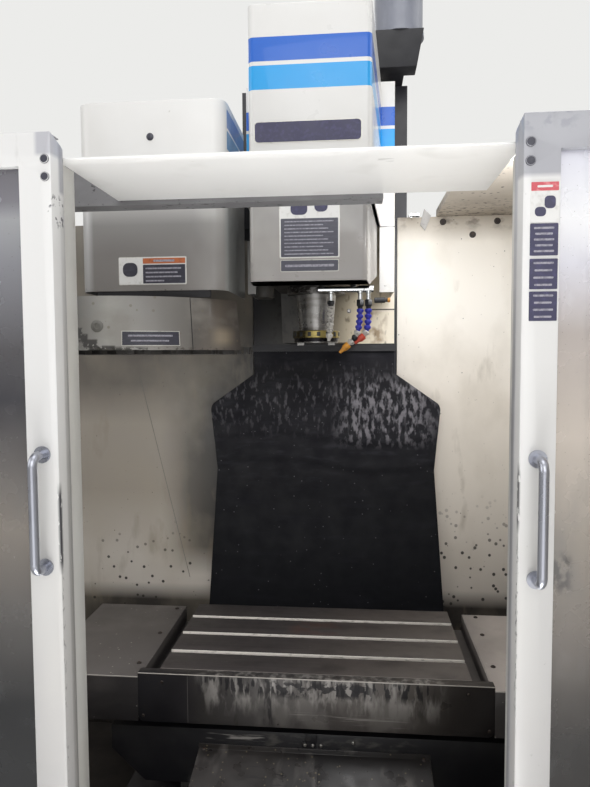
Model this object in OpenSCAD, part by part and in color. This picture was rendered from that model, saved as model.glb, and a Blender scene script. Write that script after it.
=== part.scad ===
// Vertical machining center with an umbrella tool changer, a twin sliding door and an open roof.
// The origin is the floor point under the spindle axis. +X is the machine's right, +Y its rear, +Z up.

/* [Machine] */
// Overall width across the side panels
machine_w = 2030; // [1960:10:2200]
// Overall depth from the emergency stop to the cabinet door's latch
machine_d = 2260; // [2220:10:2400]
// Height of the table top above the floor
table_top_z = 850; // [830:5:900]
// Distance from the spindle axis to the column's front face
throat = 470; // [460:5:520]
// Half of the column's width
column_half_w = 272; // [265:1:300]

/* [Travels] */
// Travel of the table along X
x_travel = 508; // [300:1:508]
// Travel of the saddle along Y
y_travel = 406; // [200:1:406]
// Travel of the head along Z
z_travel = 508; // [300:1:508]

/* [Table] */
// Length of the table
table_l = 749; // [720:1:760]
// Width of the table
table_w = 406; // [380:1:410]
// Thickness of the table's slotted plate
table_t = 55; // [45:1:60]
// Distance between two T-slots
slot_pitch = 110; // [90:1:120]
// Width of a T-slot's throat
slot_w = 14.3; // [12:0.1:18]

/* [Head] */
// Half width of the head cover at its front
head_half_w = 140; // [130:1:145]
// Height of the spindle's nose above the table top
nose_above_table = 795; // [790:1:800]
// Radius of the spindle's shaft
spindle_r = 30; // [25:1:34]
// Radius of the spindle's nose
nose_r = 58; // [50:1:60]

/* [Tool changer] */
// Number of tool forks on the drum
fork_count = 20; // [12:1:21]
// Radius from the drum's axis to a held tool's axis
pocket_pitch_r = 275; // [265:1:280]
// Stroke of the drum's carriage towards the spindle
changer_stroke = 200; // [150:1:200]

/* [Enclosure] */
// Distance from the front panels' face to the emergency stop's face
pendant_reach = 340; // [320:1:350]
// Height of the front panels above the floor
front_top_z = 1893; // [1860:1:1920]
// Clear width between the two front panels
opening_w = 652; // [640:1:680]
// Width of one door
door_w = 511; // [505:1:530]
// Depth of a door's folded edge
door_t = 31; // [28:1:34]
// Thickness of the enclosure's sheet
sheet_t = 3; // [2:0.5:4]

/* [Hidden] */
$fn = 48;

// Outer faces of the side panels and the front panels
side_x = machine_w / 2;
front_y = pendant_reach - machine_d / 2;

// Clearances and the overrun of cuts
cut = 1;
fit = 0.05;
gap = 0.3;

// Linear guides and ball screws
rail_w = 30;
rail_h = 26;
guide_h = 46;
block_h = 36;
block_w = 70;
block_l = 90;
block_slack = 0.5;
screw_r = 16;
nut_r = 34;
nut_l = 90;
screw_trench_w = 90;
screw_trench_d = 25;
bearing_l = 40;
bearing_half_w = 36;
bearing_drop = 3;
bearing_wall = 4;
motor_half_w = 45;
motor_l = 170;
motor_cap_l = 50;
motor_cap_r = 38;

// Table, saddle and base heights, worked out downwards from the table top
table_rib_h = 49;
table_rib_half_l = 240;
table_rib_half_w = 165;
table_under_z = table_top_z - table_t - table_rib_h;
saddle_top_z = table_under_z - guide_h;
saddle_h = 140;
saddle_half_l = 502;
saddle_half_w = 200;
saddle_under_z = saddle_top_z - saddle_h;
base_top_z = saddle_under_z - guide_h;
x_screw_z = saddle_top_z + guide_h / 2;
y_screw_z = base_top_z + guide_h / 2;
x_rail_y = 130;
x_block_x = 170;
rail_spare = 11;
y_rail_spare = 46;
x_rail_half_l = x_travel / 2 + x_block_x + block_l / 2 + rail_spare;
y_rail_x = 300;
y_block_y = 130;
y_rail_half_l = y_travel / 2 + y_block_y + block_l / 2 + y_rail_spare;
slot_head_w = 25;
slot_head_h = 11;
slot_depth = 26;

// Base casting and leveling pads
base_half_w = 480;
base_front_in = 190;
base_front_y = front_y + base_front_in;
cabinet_reach = 230;
base_rear_y = machine_d / 2 - cabinet_reach;
pad_h = 60;
pad_r = 55;
pad_plate_h = 18;
pad_screw_r = 12;
pad_in_x = 60;
pad_in_y = 80;
pad_x = base_half_w - pad_in_x;
pad_ys = [base_front_y + pad_in_y, (base_front_y + base_rear_y) / 2, base_rear_y - pad_in_y];
base_foot_h = 40;
base_waist_in = 50;
base_waist_h = 80;
base_side = [[base_half_w, pad_h], [base_half_w, pad_h + base_foot_h],
    [base_half_w - base_waist_in, pad_h + base_foot_h + base_waist_in],
    [base_half_w - base_waist_in, pad_h + base_foot_h + base_waist_in + base_waist_h],
    [base_half_w, pad_h + base_foot_h + 2 * base_waist_in + base_waist_h], [base_half_w, base_top_z]];

// Table guards
trough_w = 45.5;
trough_half_l = table_l / 2 + trough_w;
guard_over = 2;
guard_half_l = trough_half_l + guard_over;
guard_y = -226;
guard_h = 121;
guard_lip = 20;
guard_corner_r = 16;
trough_rear_y = 208;
trough_drop = 60;
wing_l = 266;
wing_half_l = trough_half_l + wing_l;
wing_drop = 10;
wing_lip = 20;

// Saddle's front cover
front_cover_half_w = 280;
front_cover_l = 244;
front_cover_t = 3;
front_cover_slope = 15;
front_cover_rib_h = 12;
front_cover_drop = 48;
front_cover_leg_h = 12;

// Column, head plate and Z drive
column_rear_y = base_rear_y;
column_h = 1973;
column_top_z = base_top_z + column_h;
column_window_w = 220;
column_window_h = 480;
column_window_wall = 40;
column_recess = 25;
z_rail_x = 190;
z_rail_top_drop = 4;
z_rail_under = 20;
z_screw_y = throat - guide_h / 2;
belt_housing_h = 113;
belt_housing_front_y = 330;
belt_housing_front_d = 65;
belt_housing_left = 60;
belt_housing_right_low = 289;
belt_housing_right_high = 310;
belt_housing_right_rear = 255;
belt_housing_rear_in = 50;
z_motor_x = 238;
z_motor_y = 405;
z_motor_r = 75;
z_motor_h = 188;
z_motor_cap_h = 18;
z_motor_band_h = 12;
z_motor_band_out = 4;

// Head casting and covers
nose_z = table_top_z + nose_above_table;
nose_h = 22;
nose_gap = 1;
cartridge_low_z = nose_z + nose_h + nose_gap;
cartridge_taper_h = 102;
cartridge_low_r = 43;
cartridge_high_r = 52;
cartridge_flange_r = 75;
cartridge_flange_h = 20;
cartridge_r = 70;
cartridge_body_h = 200;
casting_front_z = cartridge_low_z + cartridge_taper_h + cartridge_flange_h;
casting_half_w = 110;
casting_front_y = -130;
casting_step_y = 150;
casting_rear_lift = 5;
casting_rear_z = nose_z + casting_rear_lift;
casting_h = 350;
casting_top_z = casting_front_z + casting_h;
z_screw_low_z = casting_top_z - nut_l - z_travel - 2 * bearing_l;
head_plate_t = 26;
head_plate_half_w = 228;
head_plate_rear_y = throat - guide_h;
head_plate_up = 100;
z_block_low = 70;
z_block_high = 520;
cover_front_y = -225;
cover_rear_y = 210;
cover_flare = 36;
cover_corner_r = 14;
cover_lap = 8;
cover_lower_h = 203;
cover_upper_h = 412;
cover_low_z = casting_front_z - cover_lap;
cover_split_z = cover_low_z + cover_lower_h;
cover_top_z = cover_split_z + cover_upper_h;
cover_side_lift = 60;
cover_narrow = 10;
rear_cover_half_w = 216;
rear_cover_drop = 1;
rear_cover_h = 600;
rear_cover_back_y = head_plate_rear_y - head_plate_t;
pulley_r = 55;
pulley_h = 40;
pulley_lift = 20;
belt_t = 4;
belt_h = 30;
head_motor_y = 250;
head_motor_half_w = 80;
head_motor_h = 160;
head_motor_lift = 75;
head_motor_post_r = 8;
head_motor_post_in = 8;
head_motor_shaft_r = 14;
head_motor_shaft_in = 10;
taper_mouth_r = 22.3;
taper_mouth_h = 6;
taper_end_r = 12;
taper_h = 66;
drive_key_w = 16;
drive_key_h = 6;
drive_key_l = 18;

// Rubber apron and its clamp
apron_y = 418;
apron_t = 6;
apron_neck_half_w = 230;
apron_neck_drop = 96;
apron_shoulder_half_w = 378;
apron_shoulder_drop = 217;
apron_waist_half_w = 360;
apron_waist_drop = 415;
apron_foot_half_w = 397;
apron_foot_z = 730;
apron_bar_h = 30;
clamp_half_w = 234;
clamp_h = 24;
clamp_t = 14;

// Coolant manifold and segmented hoses
manifold_y = -118;
manifold_r = 8;
manifold_left_x = 12;
manifold_right_x = 146;
manifold_drop = 17;
manifold_stem_x = 24;
hose_bead_r = 10;
hose_bead_pitch = 15;
hose_bead_waist_r = 8;
hose_xs = [37, 106, 134];
hose_counts = [6, 8, 8];
hose_leans = [0, 55, 62];
hose_bead_lap = 1.5;
nozzle_l = 32;
nozzle_tip_r = 3;
nozzle_root_r = 8;

// Tool changer
drum_x = -(pocket_pitch_r + changer_stroke);
drum_t = 18;
drum_drop = 28;
drum_low_z = nose_z - drum_drop;
drum_r = 246;
fork_w = 48;
fork_out = 25;
fork_in = 20;
fork_notch_r = 18;
fork_mouth_w = 22;
hub_r = 60;
drum_shaft_r = 25;
drum_shaft_in = 120;
guard_low_r = 330;
guard_high_r = 317;
guard_drop = 19;
guard_low_z = nose_z - guard_drop;
guard_ring_h = 120;
guard_t = 2.5;
guard_from = -155;
guard_sweep = 130;
guard_plate_r = 80;
carriage_flange_r = 110;
carriage_flange_h = 16;
carriage_r = 62;
carriage_h = 214;
carriage_arm_half_w = 60;
carriage_arm_h = 60;
index_motor_half_w = 50;
index_motor_h = 140;
changer_rail_w = 20;
changer_rail_h = 18;
changer_guide_h = 30;
changer_block_h = 24;
changer_block_w = 50;
changer_plate_y = 180;
changer_plate_t = 20;
changer_plate_left = -640;
changer_plate_right = -190;
changer_plate_low = 1950;
changer_plate_h = 210;
changer_rail_lift = 40;
changer_rail_pitch = 120;
changer_arm_w = 100;
changer_arm_h = 75;
changer_arm_in = 100;
changer_cover_left = -542;
changer_cover_right = -192;
changer_cover_front_y = -230;
changer_cover_rear_y = 20;
changer_cover_lift = 18;
changer_cover_h = 431;
changer_cover_corner_r = 36;
changer_tab_w = 5;
changer_tab_h = 60;
changer_tab_t = 6;
changer_tab_in = 2.5;

// Enclosure
wall_gap = 8;
wall_y = throat - wall_gap;
wall_inner_x = 241;
wall_top_rise = 1212;
wall_top_z = table_top_z + wall_top_rise;
panel_low_z = 300;
pan_rim_h = 120;
sill_low_z = 150;
sill_top_z = 640;
sill_ledge_d = 44;
sill_ledge_h = 40;
track_h = 12;
track_w = 10;
roof_left_x = 366;
roof_front_y = -131;
side_step_in = 80;
front_return_d = 60;
header_t = 3;
header_depth = 243;
header_seat = 74;
header_seat_d = 30;
angle_left_x = -430;
angle_right_x = 150;
angle_low_drop = 8;
angle_h = 76;
angle_d = 42;

// Doors
door_gap = 5;
door_y = front_y - door_gap;
door_front_y = door_y - door_t;
door_inner_x = 313;
door_fold_in = 3.5;
door_fold_d = 24;
door_low_z = 656;
door_top_rise = 1071;
door_top_z = table_top_z + door_top_rise;
door_skin = 2;
post_w = 50;
rail_top_h = 46;
rail_low_h = 110;
stile_w = 34;
door_corner_cut = 16;
glass_t = 5;
glass_in = 12;
glide_w = 50;
handle_x = 340;
handle_r = 6.5;
handle_low_z = 1312;
handle_h = 162;
handle_out = 30;
handle_bend_r = 14;
handle_foot_r = 12;
handle_foot_t = 3;
plug_x = 325;
plug_zs = [1860, 1884];
plug_r = 6;
plug_t = 2;

// Pendant
post_in_x = 55;
post_x = side_x - post_in_x;
post_r = 30;
post_out = 40;
post_y = front_y - post_out;
post_low_z = 1500;
post_plate_t = 60;
post_pin_out = 10;
pendant_w = 470;
pendant_h = 560;
pendant_t = 150;
pendant_low_z = 1120;
estop_out = 30;
pendant_front_y = front_y - pendant_reach + estop_out;
pendant_corner_r = 18;
pendant_arm_h = 60;
pendant_arm_w = 60;
pendant_arm_z = 1740;
bezel = 26;
screen_w = 250;
screen_h = 190;
screen_deep = 4;
keypad_h = 230;
keypad_t = 2;
estop_r = 20;
estop_stem_r = 11;
estop_head_h = 14;
button_r = 11;
button_h = 8;
button_in = 6;
wheel_r = 38;
wheel_h = 14;
wheel_stem_r = 8;
wheel_crank_r = 6;
control_x_shares = [0.84, 0.64, 0.26];
control_z_share = 0.09;

// Electrical cabinet
cabinet_half_w = 400;
cabinet_low_z = 420;
cabinet_h = 1380;
cabinet_wall = 3;
cabinet_door_t = 20;
cabinet_latch_out = 15;
cabinet_latch_in = 40;
cabinet_latch_r = 18;
cabinet_pin_r = 5;
cabinet_knuckle_r = 8;
cabinet_knuckle_out = 9;
cabinet_knuckle_h = 60;
cabinet_hinge_shares = [0.12, 0.5, 0.88];
cabinet_rear_y = machine_d / 2 - cabinet_latch_out;

// Paint and metals
paint_white = "#ECEBE6";
paint_cream = "#DDD6C4";
paint_blue = "#2F74D0";
paint_dark = "#23242A";
iron_grey = "#8B8D8F";
steel_bright = "#C3C6C9";
table_grey = "#8E8780";
steel_guard = "#7C7B7D";
rubber_black = "#26262B";

// A box given by its two corners
module span(a, b) {
    translate(a) cube(b - a);
}

// A thing and its mirror image across the spindle plane
module both_sides() {
    children();
    mirror([1, 0, 0]) children();
}

// The points of an arc, from angle a0 to angle a1, in n steps
function arc(c, r, a0, a1, n = 6) = [for (i = [0 : n])
    c + r * [cos(a0 + (a1 - a0) * i / n), sin(a0 + (a1 - a0) * i / n)]];

// A rectangle with round corners, centred, as a list of points
function round_rect(w, h, r) = concat(
    arc([w / 2 - r, h / 2 - r], r, 0, 90), arc([-w / 2 + r, h / 2 - r], r, 90, 180),
    arc([-w / 2 + r, -h / 2 + r], r, 180, 270), arc([w / 2 - r, -h / 2 + r], r, 270, 360));

// A guide rail of length l along X, standing on z = 0
module guide_rail(l, w = rail_w, h = rail_h) {
    neck = w / 5;
    rotate([90, 0, 90]) linear_extrude(height = l, center = true)
        polygon([[-w / 2, 0], [w / 2, 0], [w / 2, h / 3], [w / 2 - neck, h / 2], [w / 2 - neck, h * 2 / 3],
            [w / 2, h * 5 / 6], [w / 2, h], [-w / 2, h], [-w / 2, h * 5 / 6], [-w / 2 + neck, h * 2 / 3],
            [-w / 2 + neck, h / 2], [-w / 2, h / 3]]);
}

// A slide block along X whose top is the guide's full height above z = 0
module guide_block(l = block_l, w = block_w, h = block_h, top = guide_h, rw = rail_w, rh = rail_h) {
    difference() {
        translate([-l / 2, -w / 2, top - h]) cube([l, w, h]);
        translate([-l / 2 - cut, -rw / 2 - block_slack, 0])
            cube([l + 2 * cut, rw + 2 * block_slack, rh + block_slack]);
    }
}

// A servo motor whose flange stands on z = 0 and whose body goes up
module servo_motor() {
    translate([-motor_half_w, -motor_half_w, 0])
        cube([2 * motor_half_w, 2 * motor_half_w, motor_l - motor_cap_l]);
    translate([0, 0, motor_l - motor_cap_l]) cylinder(r = motor_cap_r, h = motor_cap_l);
}

module leveling_pads() {
    color(paint_dark) both_sides() for (y = pad_ys) translate([pad_x, y, 0]) {
        cylinder(r = pad_r, h = pad_plate_h);
        cylinder(r = pad_screw_r, h = pad_h);
        translate([0, 0, pad_h - pad_plate_h]) cylinder(r = 2 * pad_screw_r, h = pad_plate_h, $fn = 6);
    }
}

// Box casting with a waist along both sides, a screw trench and a front bearing housing
module base_casting() {
    color(paint_dark) {
        difference() {
            rotate([90, 0, 0]) translate([0, 0, -base_rear_y])
                linear_extrude(height = base_rear_y - base_front_y)
                polygon(concat(base_side, [for (i = [len(base_side) - 1 : -1 : 0]) [-base_side[i][0],
                    base_side[i][1]]]));
            span([-screw_trench_w / 2, base_front_y - cut, base_top_z - screw_trench_d],
                [screw_trench_w / 2, throat - gap, base_top_z + cut]);
        }
        bearing_housing_y();
    }
}

// Two housings that hold the Y screw at the ends of its trench
module bearing_housing_y() {
    difference() {
        for (y = [base_front_y, y_rail_half_l])
            span([-bearing_half_w, y, base_top_z - screw_trench_d],
                [bearing_half_w, y + bearing_l, base_top_z + guide_h - bearing_drop]);
        translate([0, base_front_y - cut, y_screw_z]) rotate([-90, 0, 0])
            cylinder(r = screw_r + fit, h = throat - base_front_y + 2 * cut);
    }
}

// Column casting: a trench for the Z screw in front, its lower bearing and recesses in both sides
module column() {
    color(paint_dark) difference() {
        span([-column_half_w, throat, base_top_z], [column_half_w, column_rear_y, column_top_z]);
        span([-screw_trench_w / 2, throat - cut, base_top_z + column_window_wall],
            [screw_trench_w / 2, throat + screw_trench_d, column_top_z + cut]);
        for (z = [base_top_z + column_window_wall * 4,
            base_top_z + column_window_wall * 6 + column_window_h,
                base_top_z + column_window_wall * 8 + 2 * column_window_h])
            both_sides() span([column_half_w - column_recess,
                (throat + column_rear_y - column_window_w) / 2, z],
                [column_half_w + cut, (throat + column_rear_y + column_window_w) / 2, z + column_window_h]);
    }
    color(paint_dark) difference() {
        span([-bearing_half_w, z_screw_y - screw_r - bearing_wall, z_screw_low_z],
            [bearing_half_w, throat + screw_trench_d, z_screw_low_z + bearing_l]);
        translate([0, z_screw_y, z_screw_low_z - cut]) cylinder(r = screw_r + fit, h = bearing_l + 2 * cut);
    }
    color(paint_dark) difference() {
        span([-apron_foot_half_w, apron_y + apron_t, apron_foot_z - apron_bar_h],
            [apron_foot_half_w, throat, apron_foot_z]);
        span([-screw_trench_w, apron_y + apron_t + column_window_wall / 2,
            apron_foot_z - apron_bar_h - cut],
            [screw_trench_w, throat + cut, apron_foot_z + cut]);
    }
}

module y_rails() {
    color(steel_bright) both_sides() translate([y_rail_x, 0, base_top_z]) rotate([0, 0, 90])
        guide_rail(2 * y_rail_half_l);
}

module z_rails() {
    low = casting_rear_z - z_travel - z_rail_under;
    high = column_top_z - z_rail_top_drop;
    color(steel_bright) both_sides() translate([z_rail_x, throat, (low + high) / 2]) rotate([90, 0, 0])
        rotate([0, 0, 90]) guide_rail(high - low);
}

// Belt housing on the column's top, wider at its top, that carries the Z motor in front of the column
module z_belt_housing() {
    color(paint_dark) difference() {
        union() {
            translate([0, belt_housing_front_y + belt_housing_front_d, column_top_z]) rotate([90, 0, 0])
                linear_extrude(height = belt_housing_front_d)
                polygon([[-belt_housing_left, 0], [belt_housing_right_low, 0],
                    [belt_housing_right_high, belt_housing_h], [-belt_housing_left, belt_housing_h]]);
            span([-belt_housing_left, belt_housing_front_y + belt_housing_front_d, column_top_z],
                [belt_housing_right_rear, column_rear_y - belt_housing_rear_in,
                    column_top_z + belt_housing_h]);
        }
        translate([0, z_screw_y, column_top_z - cut])
            cylinder(r = screw_r + fit, h = belt_housing_h / 2 + cut);
    }
}

module axis_motors() {
    color(paint_dark) translate([0, base_front_y, y_screw_z]) rotate([90, 0, 0]) servo_motor();
    color(iron_grey) translate([z_motor_x, z_motor_y, column_top_z + belt_housing_h]) {
        cylinder(r = z_motor_r, h = z_motor_h);
        for (z = [0, z_motor_h - z_motor_cap_h - z_motor_band_h])
            translate([0, 0, z]) cylinder(r = z_motor_r + z_motor_band_out, h = z_motor_band_h);
        translate([0, 0, z_motor_h]) cylinder(r1 = z_motor_r, r2 = z_motor_r - z_motor_cap_h,
            h = z_motor_cap_h);
    }
}

// Tray round the base with a standing rim on three sides
module chip_pan() {
    x = side_x - sheet_t;
    y0 = front_y + sheet_t;
    y1 = wall_y - sheet_t;
    color(paint_white) difference() {
        span([-x, y0, panel_low_z], [x, y1, panel_low_z + pan_rim_h]);
        span([-x + sheet_t, y0 + sheet_t, panel_low_z + sheet_t],
            [x - sheet_t, y1 - sheet_t, panel_low_z + pan_rim_h + cut]);
        span([-base_half_w, base_front_y, panel_low_z - cut],
            [base_half_w, y1 + cut, panel_low_z + pan_rim_h + cut]);
    }
}

// Side panel, higher at the rear where the roof lies on it
module side_panels() {
    color(paint_white) both_sides() translate([side_x - sheet_t, 0, 0]) rotate([90, 0, 90])
        linear_extrude(height = sheet_t)
        polygon([[front_y + sheet_t, panel_low_z], [wall_y, panel_low_z], [wall_y, wall_top_z],
            [roof_front_y, wall_top_z], [roof_front_y - side_step_in, front_top_z],
                [front_y + sheet_t, front_top_z]]);
}

// Rear wall on each side of the column, folded back against it
module rear_walls() {
    x1 = side_x - sheet_t;
    color(paint_cream) both_sides() {
        span([wall_inner_x, wall_y - sheet_t, apron_foot_z], [x1, wall_y, wall_top_z]);
        span([base_half_w + gap, wall_y - sheet_t, panel_low_z], [x1, wall_y, apron_foot_z]);
        span([apron_foot_half_w + gap, wall_y - sheet_t, base_top_z + gap],
            [base_half_w + gap, wall_y, apron_foot_z]);
        span([wall_inner_x, wall_y - sheet_t, base_top_z + gap],
            [apron_foot_half_w + gap, wall_y, apron_foot_z - apron_bar_h - gap]);
        span([wall_inner_x, wall_y, apron_foot_z], [wall_inner_x + sheet_t, throat, wall_top_z]);
    }
}

// Roof sheet over the right rear corner, on the side panel and the rear wall
module roof_panel() {
    color(paint_cream) {
        span([roof_left_x, roof_front_y, wall_top_z], [side_x, wall_y, wall_top_z + sheet_t]);
        span([roof_left_x, roof_front_y, wall_top_z + sheet_t],
            [side_x, roof_front_y + sheet_t, wall_top_z + sheet_t + guard_lip]);
        span([roof_left_x, roof_front_y + sheet_t, wall_top_z + sheet_t],
            [roof_left_x + sheet_t, wall_y, wall_top_z + sheet_t + guard_lip]);
    }
}

// Fixed panel on each side of the opening, with a folded inner edge; the right one holds the pendant's post
module front_panels() {
    x0 = opening_w / 2;
    color(paint_white) both_sides() {
        span([x0, front_y, sill_top_z], [side_x, front_y + sheet_t, front_top_z]);
        span([x0, front_y + sheet_t, sill_top_z], [x0 + sheet_t, front_y + front_return_d, front_top_z]);
    }
    color(paint_cream) translate([post_x, post_y, post_low_z]) {
        span([-post_r, 0, 0], [post_r, front_y - post_y, post_plate_t]);
        cylinder(r = post_r, h = pendant_arm_z - post_low_z - gap);
        cylinder(r = post_r / 2, h = pendant_arm_z + pendant_arm_h + post_pin_out - post_low_z);
    }
}

// Lower front panel with a ledge that carries the doors' track
module front_sill() {
    color(paint_white) {
        span([-side_x, front_y, sill_low_z], [side_x, front_y + sheet_t, sill_top_z]);
        span([-side_x, front_y - sill_ledge_d, sill_top_z - sheet_t], [side_x, front_y, sill_top_z]);
        span([-side_x, front_y - sill_ledge_d, sill_top_z - sill_ledge_h],
            [side_x, front_y - sill_ledge_d + sheet_t, sill_top_z - sheet_t]);
    }
    color(steel_bright) span([-side_x + sheet_t, door_y - door_t / 2 - track_w / 2, sill_top_z],
        [side_x - sheet_t, door_y - door_t / 2 + track_w / 2, sill_top_z + track_h]);
}

// Horizontal sheet over the opening, resting with its front corners on the front panels
module header_tray() {
    x0 = opening_w / 2;
    color(paint_white) {
        span([-x0, front_y, front_top_z], [x0, front_y + header_depth, front_top_z + header_t]);
        both_sides() span([x0, front_y, front_top_z],
            [x0 + header_seat, front_y + header_seat_d, front_top_z + header_t]);
    }
}

// Dark angle along the tray's rear edge
module header_angle() {
    y0 = front_y + header_depth;
    z0 = front_top_z - angle_low_drop;
    color(paint_dark) {
        span([angle_left_x, y0, z0], [angle_right_x, y0 + header_t, z0 + angle_h]);
        span([angle_left_x, y0 + header_t, z0], [angle_right_x, y0 + angle_d, z0 + header_t]);
    }
}

// Rubber way cover behind the table: a narrow neck, round shoulders and a slight waist
module rubber_apron() {
    top = casting_rear_z;
    r = apron_shoulder_half_w / 12;
    right = concat([[apron_foot_half_w, apron_foot_z - apron_bar_h], [apron_foot_half_w, apron_foot_z],
        [apron_waist_half_w, top - apron_waist_drop]],
        arc([apron_shoulder_half_w - r, top - apron_shoulder_drop], r, -10, 45),
        [[apron_neck_half_w, top - apron_neck_drop], [apron_neck_half_w, top - clamp_t]]);
    n = len(right);
    color(rubber_black) translate([0, apron_y + apron_t, 0]) rotate([90, 0, 0])
        linear_extrude(height = apron_t)
        polygon(concat(right, [for (i = [n - 1 : -1 : 0]) [-right[i][0], right[i][1]]]));
}

module y_screw() {
    color(steel_bright) translate([0, base_front_y + gap, y_screw_z]) rotate([-90, 0, 0])
        cylinder(r = screw_r, h = y_rail_half_l + bearing_l - base_front_y - gap);
}

module z_screw() {
    color(steel_bright) translate([0, z_screw_y, z_screw_low_z])
        cylinder(r = screw_r, h = column_top_z + belt_housing_h / 2 - gap - cut - z_screw_low_z);
}

// Saddle casting with a screw trench, the X screw's housings and ribs at both ends
module saddle() {
    color(paint_dark) {
        difference() {
            span([-saddle_half_l, -saddle_half_w, saddle_under_z],
                [saddle_half_l, saddle_half_w, saddle_top_z]);
            span([-saddle_half_l - cut, -screw_trench_w / 2, saddle_top_z - screw_trench_d],
                [saddle_half_l + cut, screw_trench_w / 2, saddle_top_z + cut]);
            both_sides() rotate([90, 0, 0]) translate([0, 0, -saddle_half_w - cut])
                linear_extrude(height = 2 * saddle_half_w + 2 * cut)
                polygon([[saddle_half_l + cut, saddle_under_z - cut],
                    [saddle_half_l + cut, saddle_top_z - saddle_h * 3 / 7],
                    [saddle_half_l - x_block_x / 2, saddle_under_z - cut]]);
        }
        difference() {
            both_sides() span([saddle_half_l - bearing_l, -bearing_half_w, saddle_top_z - screw_trench_d],
                [saddle_half_l, bearing_half_w, table_under_z - bearing_drop]);
            translate([-saddle_half_l - cut, 0, x_screw_z]) rotate([0, 90, 0])
                cylinder(r = screw_r + fit, h = 2 * saddle_half_l + 2 * cut);
        }
        difference() {
            translate([0, 0, y_screw_z]) rotate([90, 0, 0]) cylinder(r = nut_r, h = nut_l, center = true);
            translate([0, 0, y_screw_z]) rotate([90, 0, 0])
                cylinder(r = screw_r + fit, h = nut_l + 2 * cut, center = true);
            span([-nut_r - cut, -nut_l, saddle_under_z], [nut_r + cut, nut_l, saddle_top_z]);
        }
        difference() {
            span([-nut_r, -nut_l / 2, y_screw_z], [nut_r, nut_l / 2, saddle_under_z]);
            translate([0, 0, y_screw_z]) rotate([90, 0, 0])
                cylinder(r = nut_r - cut / 2, h = nut_l + 2 * cut, center = true);
        }
    }
}

module y_blocks() {
    color(steel_bright) both_sides() for (y = [-y_block_y, y_block_y])
        translate([y_rail_x, y, base_top_z]) rotate([0, 0, 90]) guide_block();
}

module x_rails() {
    color(steel_bright) for (y = [-x_rail_y, x_rail_y]) translate([0, y, saddle_top_z])
        guide_rail(2 * x_rail_half_l);
}

module x_motor() {
    color(paint_dark) translate([saddle_half_l, 0, x_screw_z]) rotate([0, 90, 0]) servo_motor();
}

module x_screw() {
    color(steel_bright) translate([-saddle_half_l, 0, x_screw_z]) rotate([0, 90, 0])
        cylinder(r = screw_r, h = 2 * saddle_half_l - gap);
}

// Sloping steel cover in front of the saddle: one folded sheet with a rib along each side
module saddle_front_cover() {
    y0 = -saddle_half_w;
    y1 = y0 - front_cover_t;
    y2 = y1 - front_cover_l;
    z1 = saddle_top_z - front_cover_drop;
    z2 = z1 - front_cover_l * tan(front_cover_slope);
    top_z = z1 + front_cover_leg_h;
    deep = front_cover_t / cos(front_cover_slope);
    fall = tan(front_cover_slope) * cut;
    color(steel_bright) difference() {
        rotate([90, 0, 90]) translate([0, 0, -front_cover_half_w])
            linear_extrude(height = 2 * front_cover_half_w)
            polygon([[y0, top_z], [y1, top_z], [y1, z1], [y2, z2], [y2, z2 - deep - front_cover_rib_h],
                [y1, z1 - deep - front_cover_rib_h], [y0, z1 - deep - front_cover_rib_h]]);
        rotate([90, 0, 90]) translate([0, 0, front_cover_t - front_cover_half_w])
            linear_extrude(height = 2 * (front_cover_half_w - front_cover_t))
            polygon([[y1, z1 - deep], [y2 - cut, z2 - deep - fall],
                [y2 - cut, z2 - deep - 2 * front_cover_rib_h],
                [y1, z1 - deep - 2 * front_cover_rib_h]]);
    }
}

// Table: slotted plate on a narrower ribbed body
module table() {
    color(table_grey) difference() {
        union() {
            span([-table_l / 2, -table_w / 2, table_top_z - table_t],
                [table_l / 2, table_w / 2, table_top_z]);
            span([-table_rib_half_l, -table_rib_half_w, table_under_z],
                [table_rib_half_l, table_rib_half_w, table_top_z - table_t]);
        }
        for (y = [-slot_pitch, 0, slot_pitch]) {
            span([-table_l / 2 - cut, y - slot_w / 2, table_top_z - slot_depth],
                [table_l / 2 + cut, y + slot_w / 2, table_top_z + cut]);
            span([-table_l / 2 - cut, y - slot_head_w / 2, table_top_z - slot_depth],
                [table_l / 2 + cut, y + slot_head_w / 2, table_top_z - slot_depth + slot_head_h]);
        }
    }
}

// Four slide blocks and the X nut under the table
module x_blocks() {
    color(steel_bright) {
        both_sides() for (y = [-x_rail_y, x_rail_y]) translate([x_block_x, y, saddle_top_z]) guide_block();
        difference() {
            union() {
                translate([0, 0, x_screw_z]) rotate([0, 90, 0])
                    cylinder(r = nut_r, h = nut_l, center = true);
                span([-nut_l / 2, -nut_r, x_screw_z], [nut_l / 2, nut_r, table_under_z]);
            }
            translate([0, 0, x_screw_z]) rotate([0, 90, 0])
                cylinder(r = screw_r + fit, h = nut_l + 2 * cut, center = true);
            span([-nut_l, -nut_r - cut, table_under_z], [nut_l, nut_r + cut, table_top_z]);
        }
    }
}

// Folded front guard: a face with round lower corners and a lip back to the table
module table_front_guard() {
    low = -guard_h;
    color(steel_guard) translate([0, 0, table_top_z]) {
        translate([0, guard_y, 0]) rotate([90, 0, 0]) linear_extrude(height = sheet_t)
            polygon(concat([[guard_half_l, 0], [-guard_half_l, 0]],
                arc([-guard_half_l + guard_corner_r, low + guard_corner_r], guard_corner_r, 180, 270),
                arc([guard_half_l - guard_corner_r, low + guard_corner_r], guard_corner_r, 270, 360)));
        span([-guard_half_l, guard_y, -sheet_t], [guard_half_l, -table_w / 2, 0]);
    }
}

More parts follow.
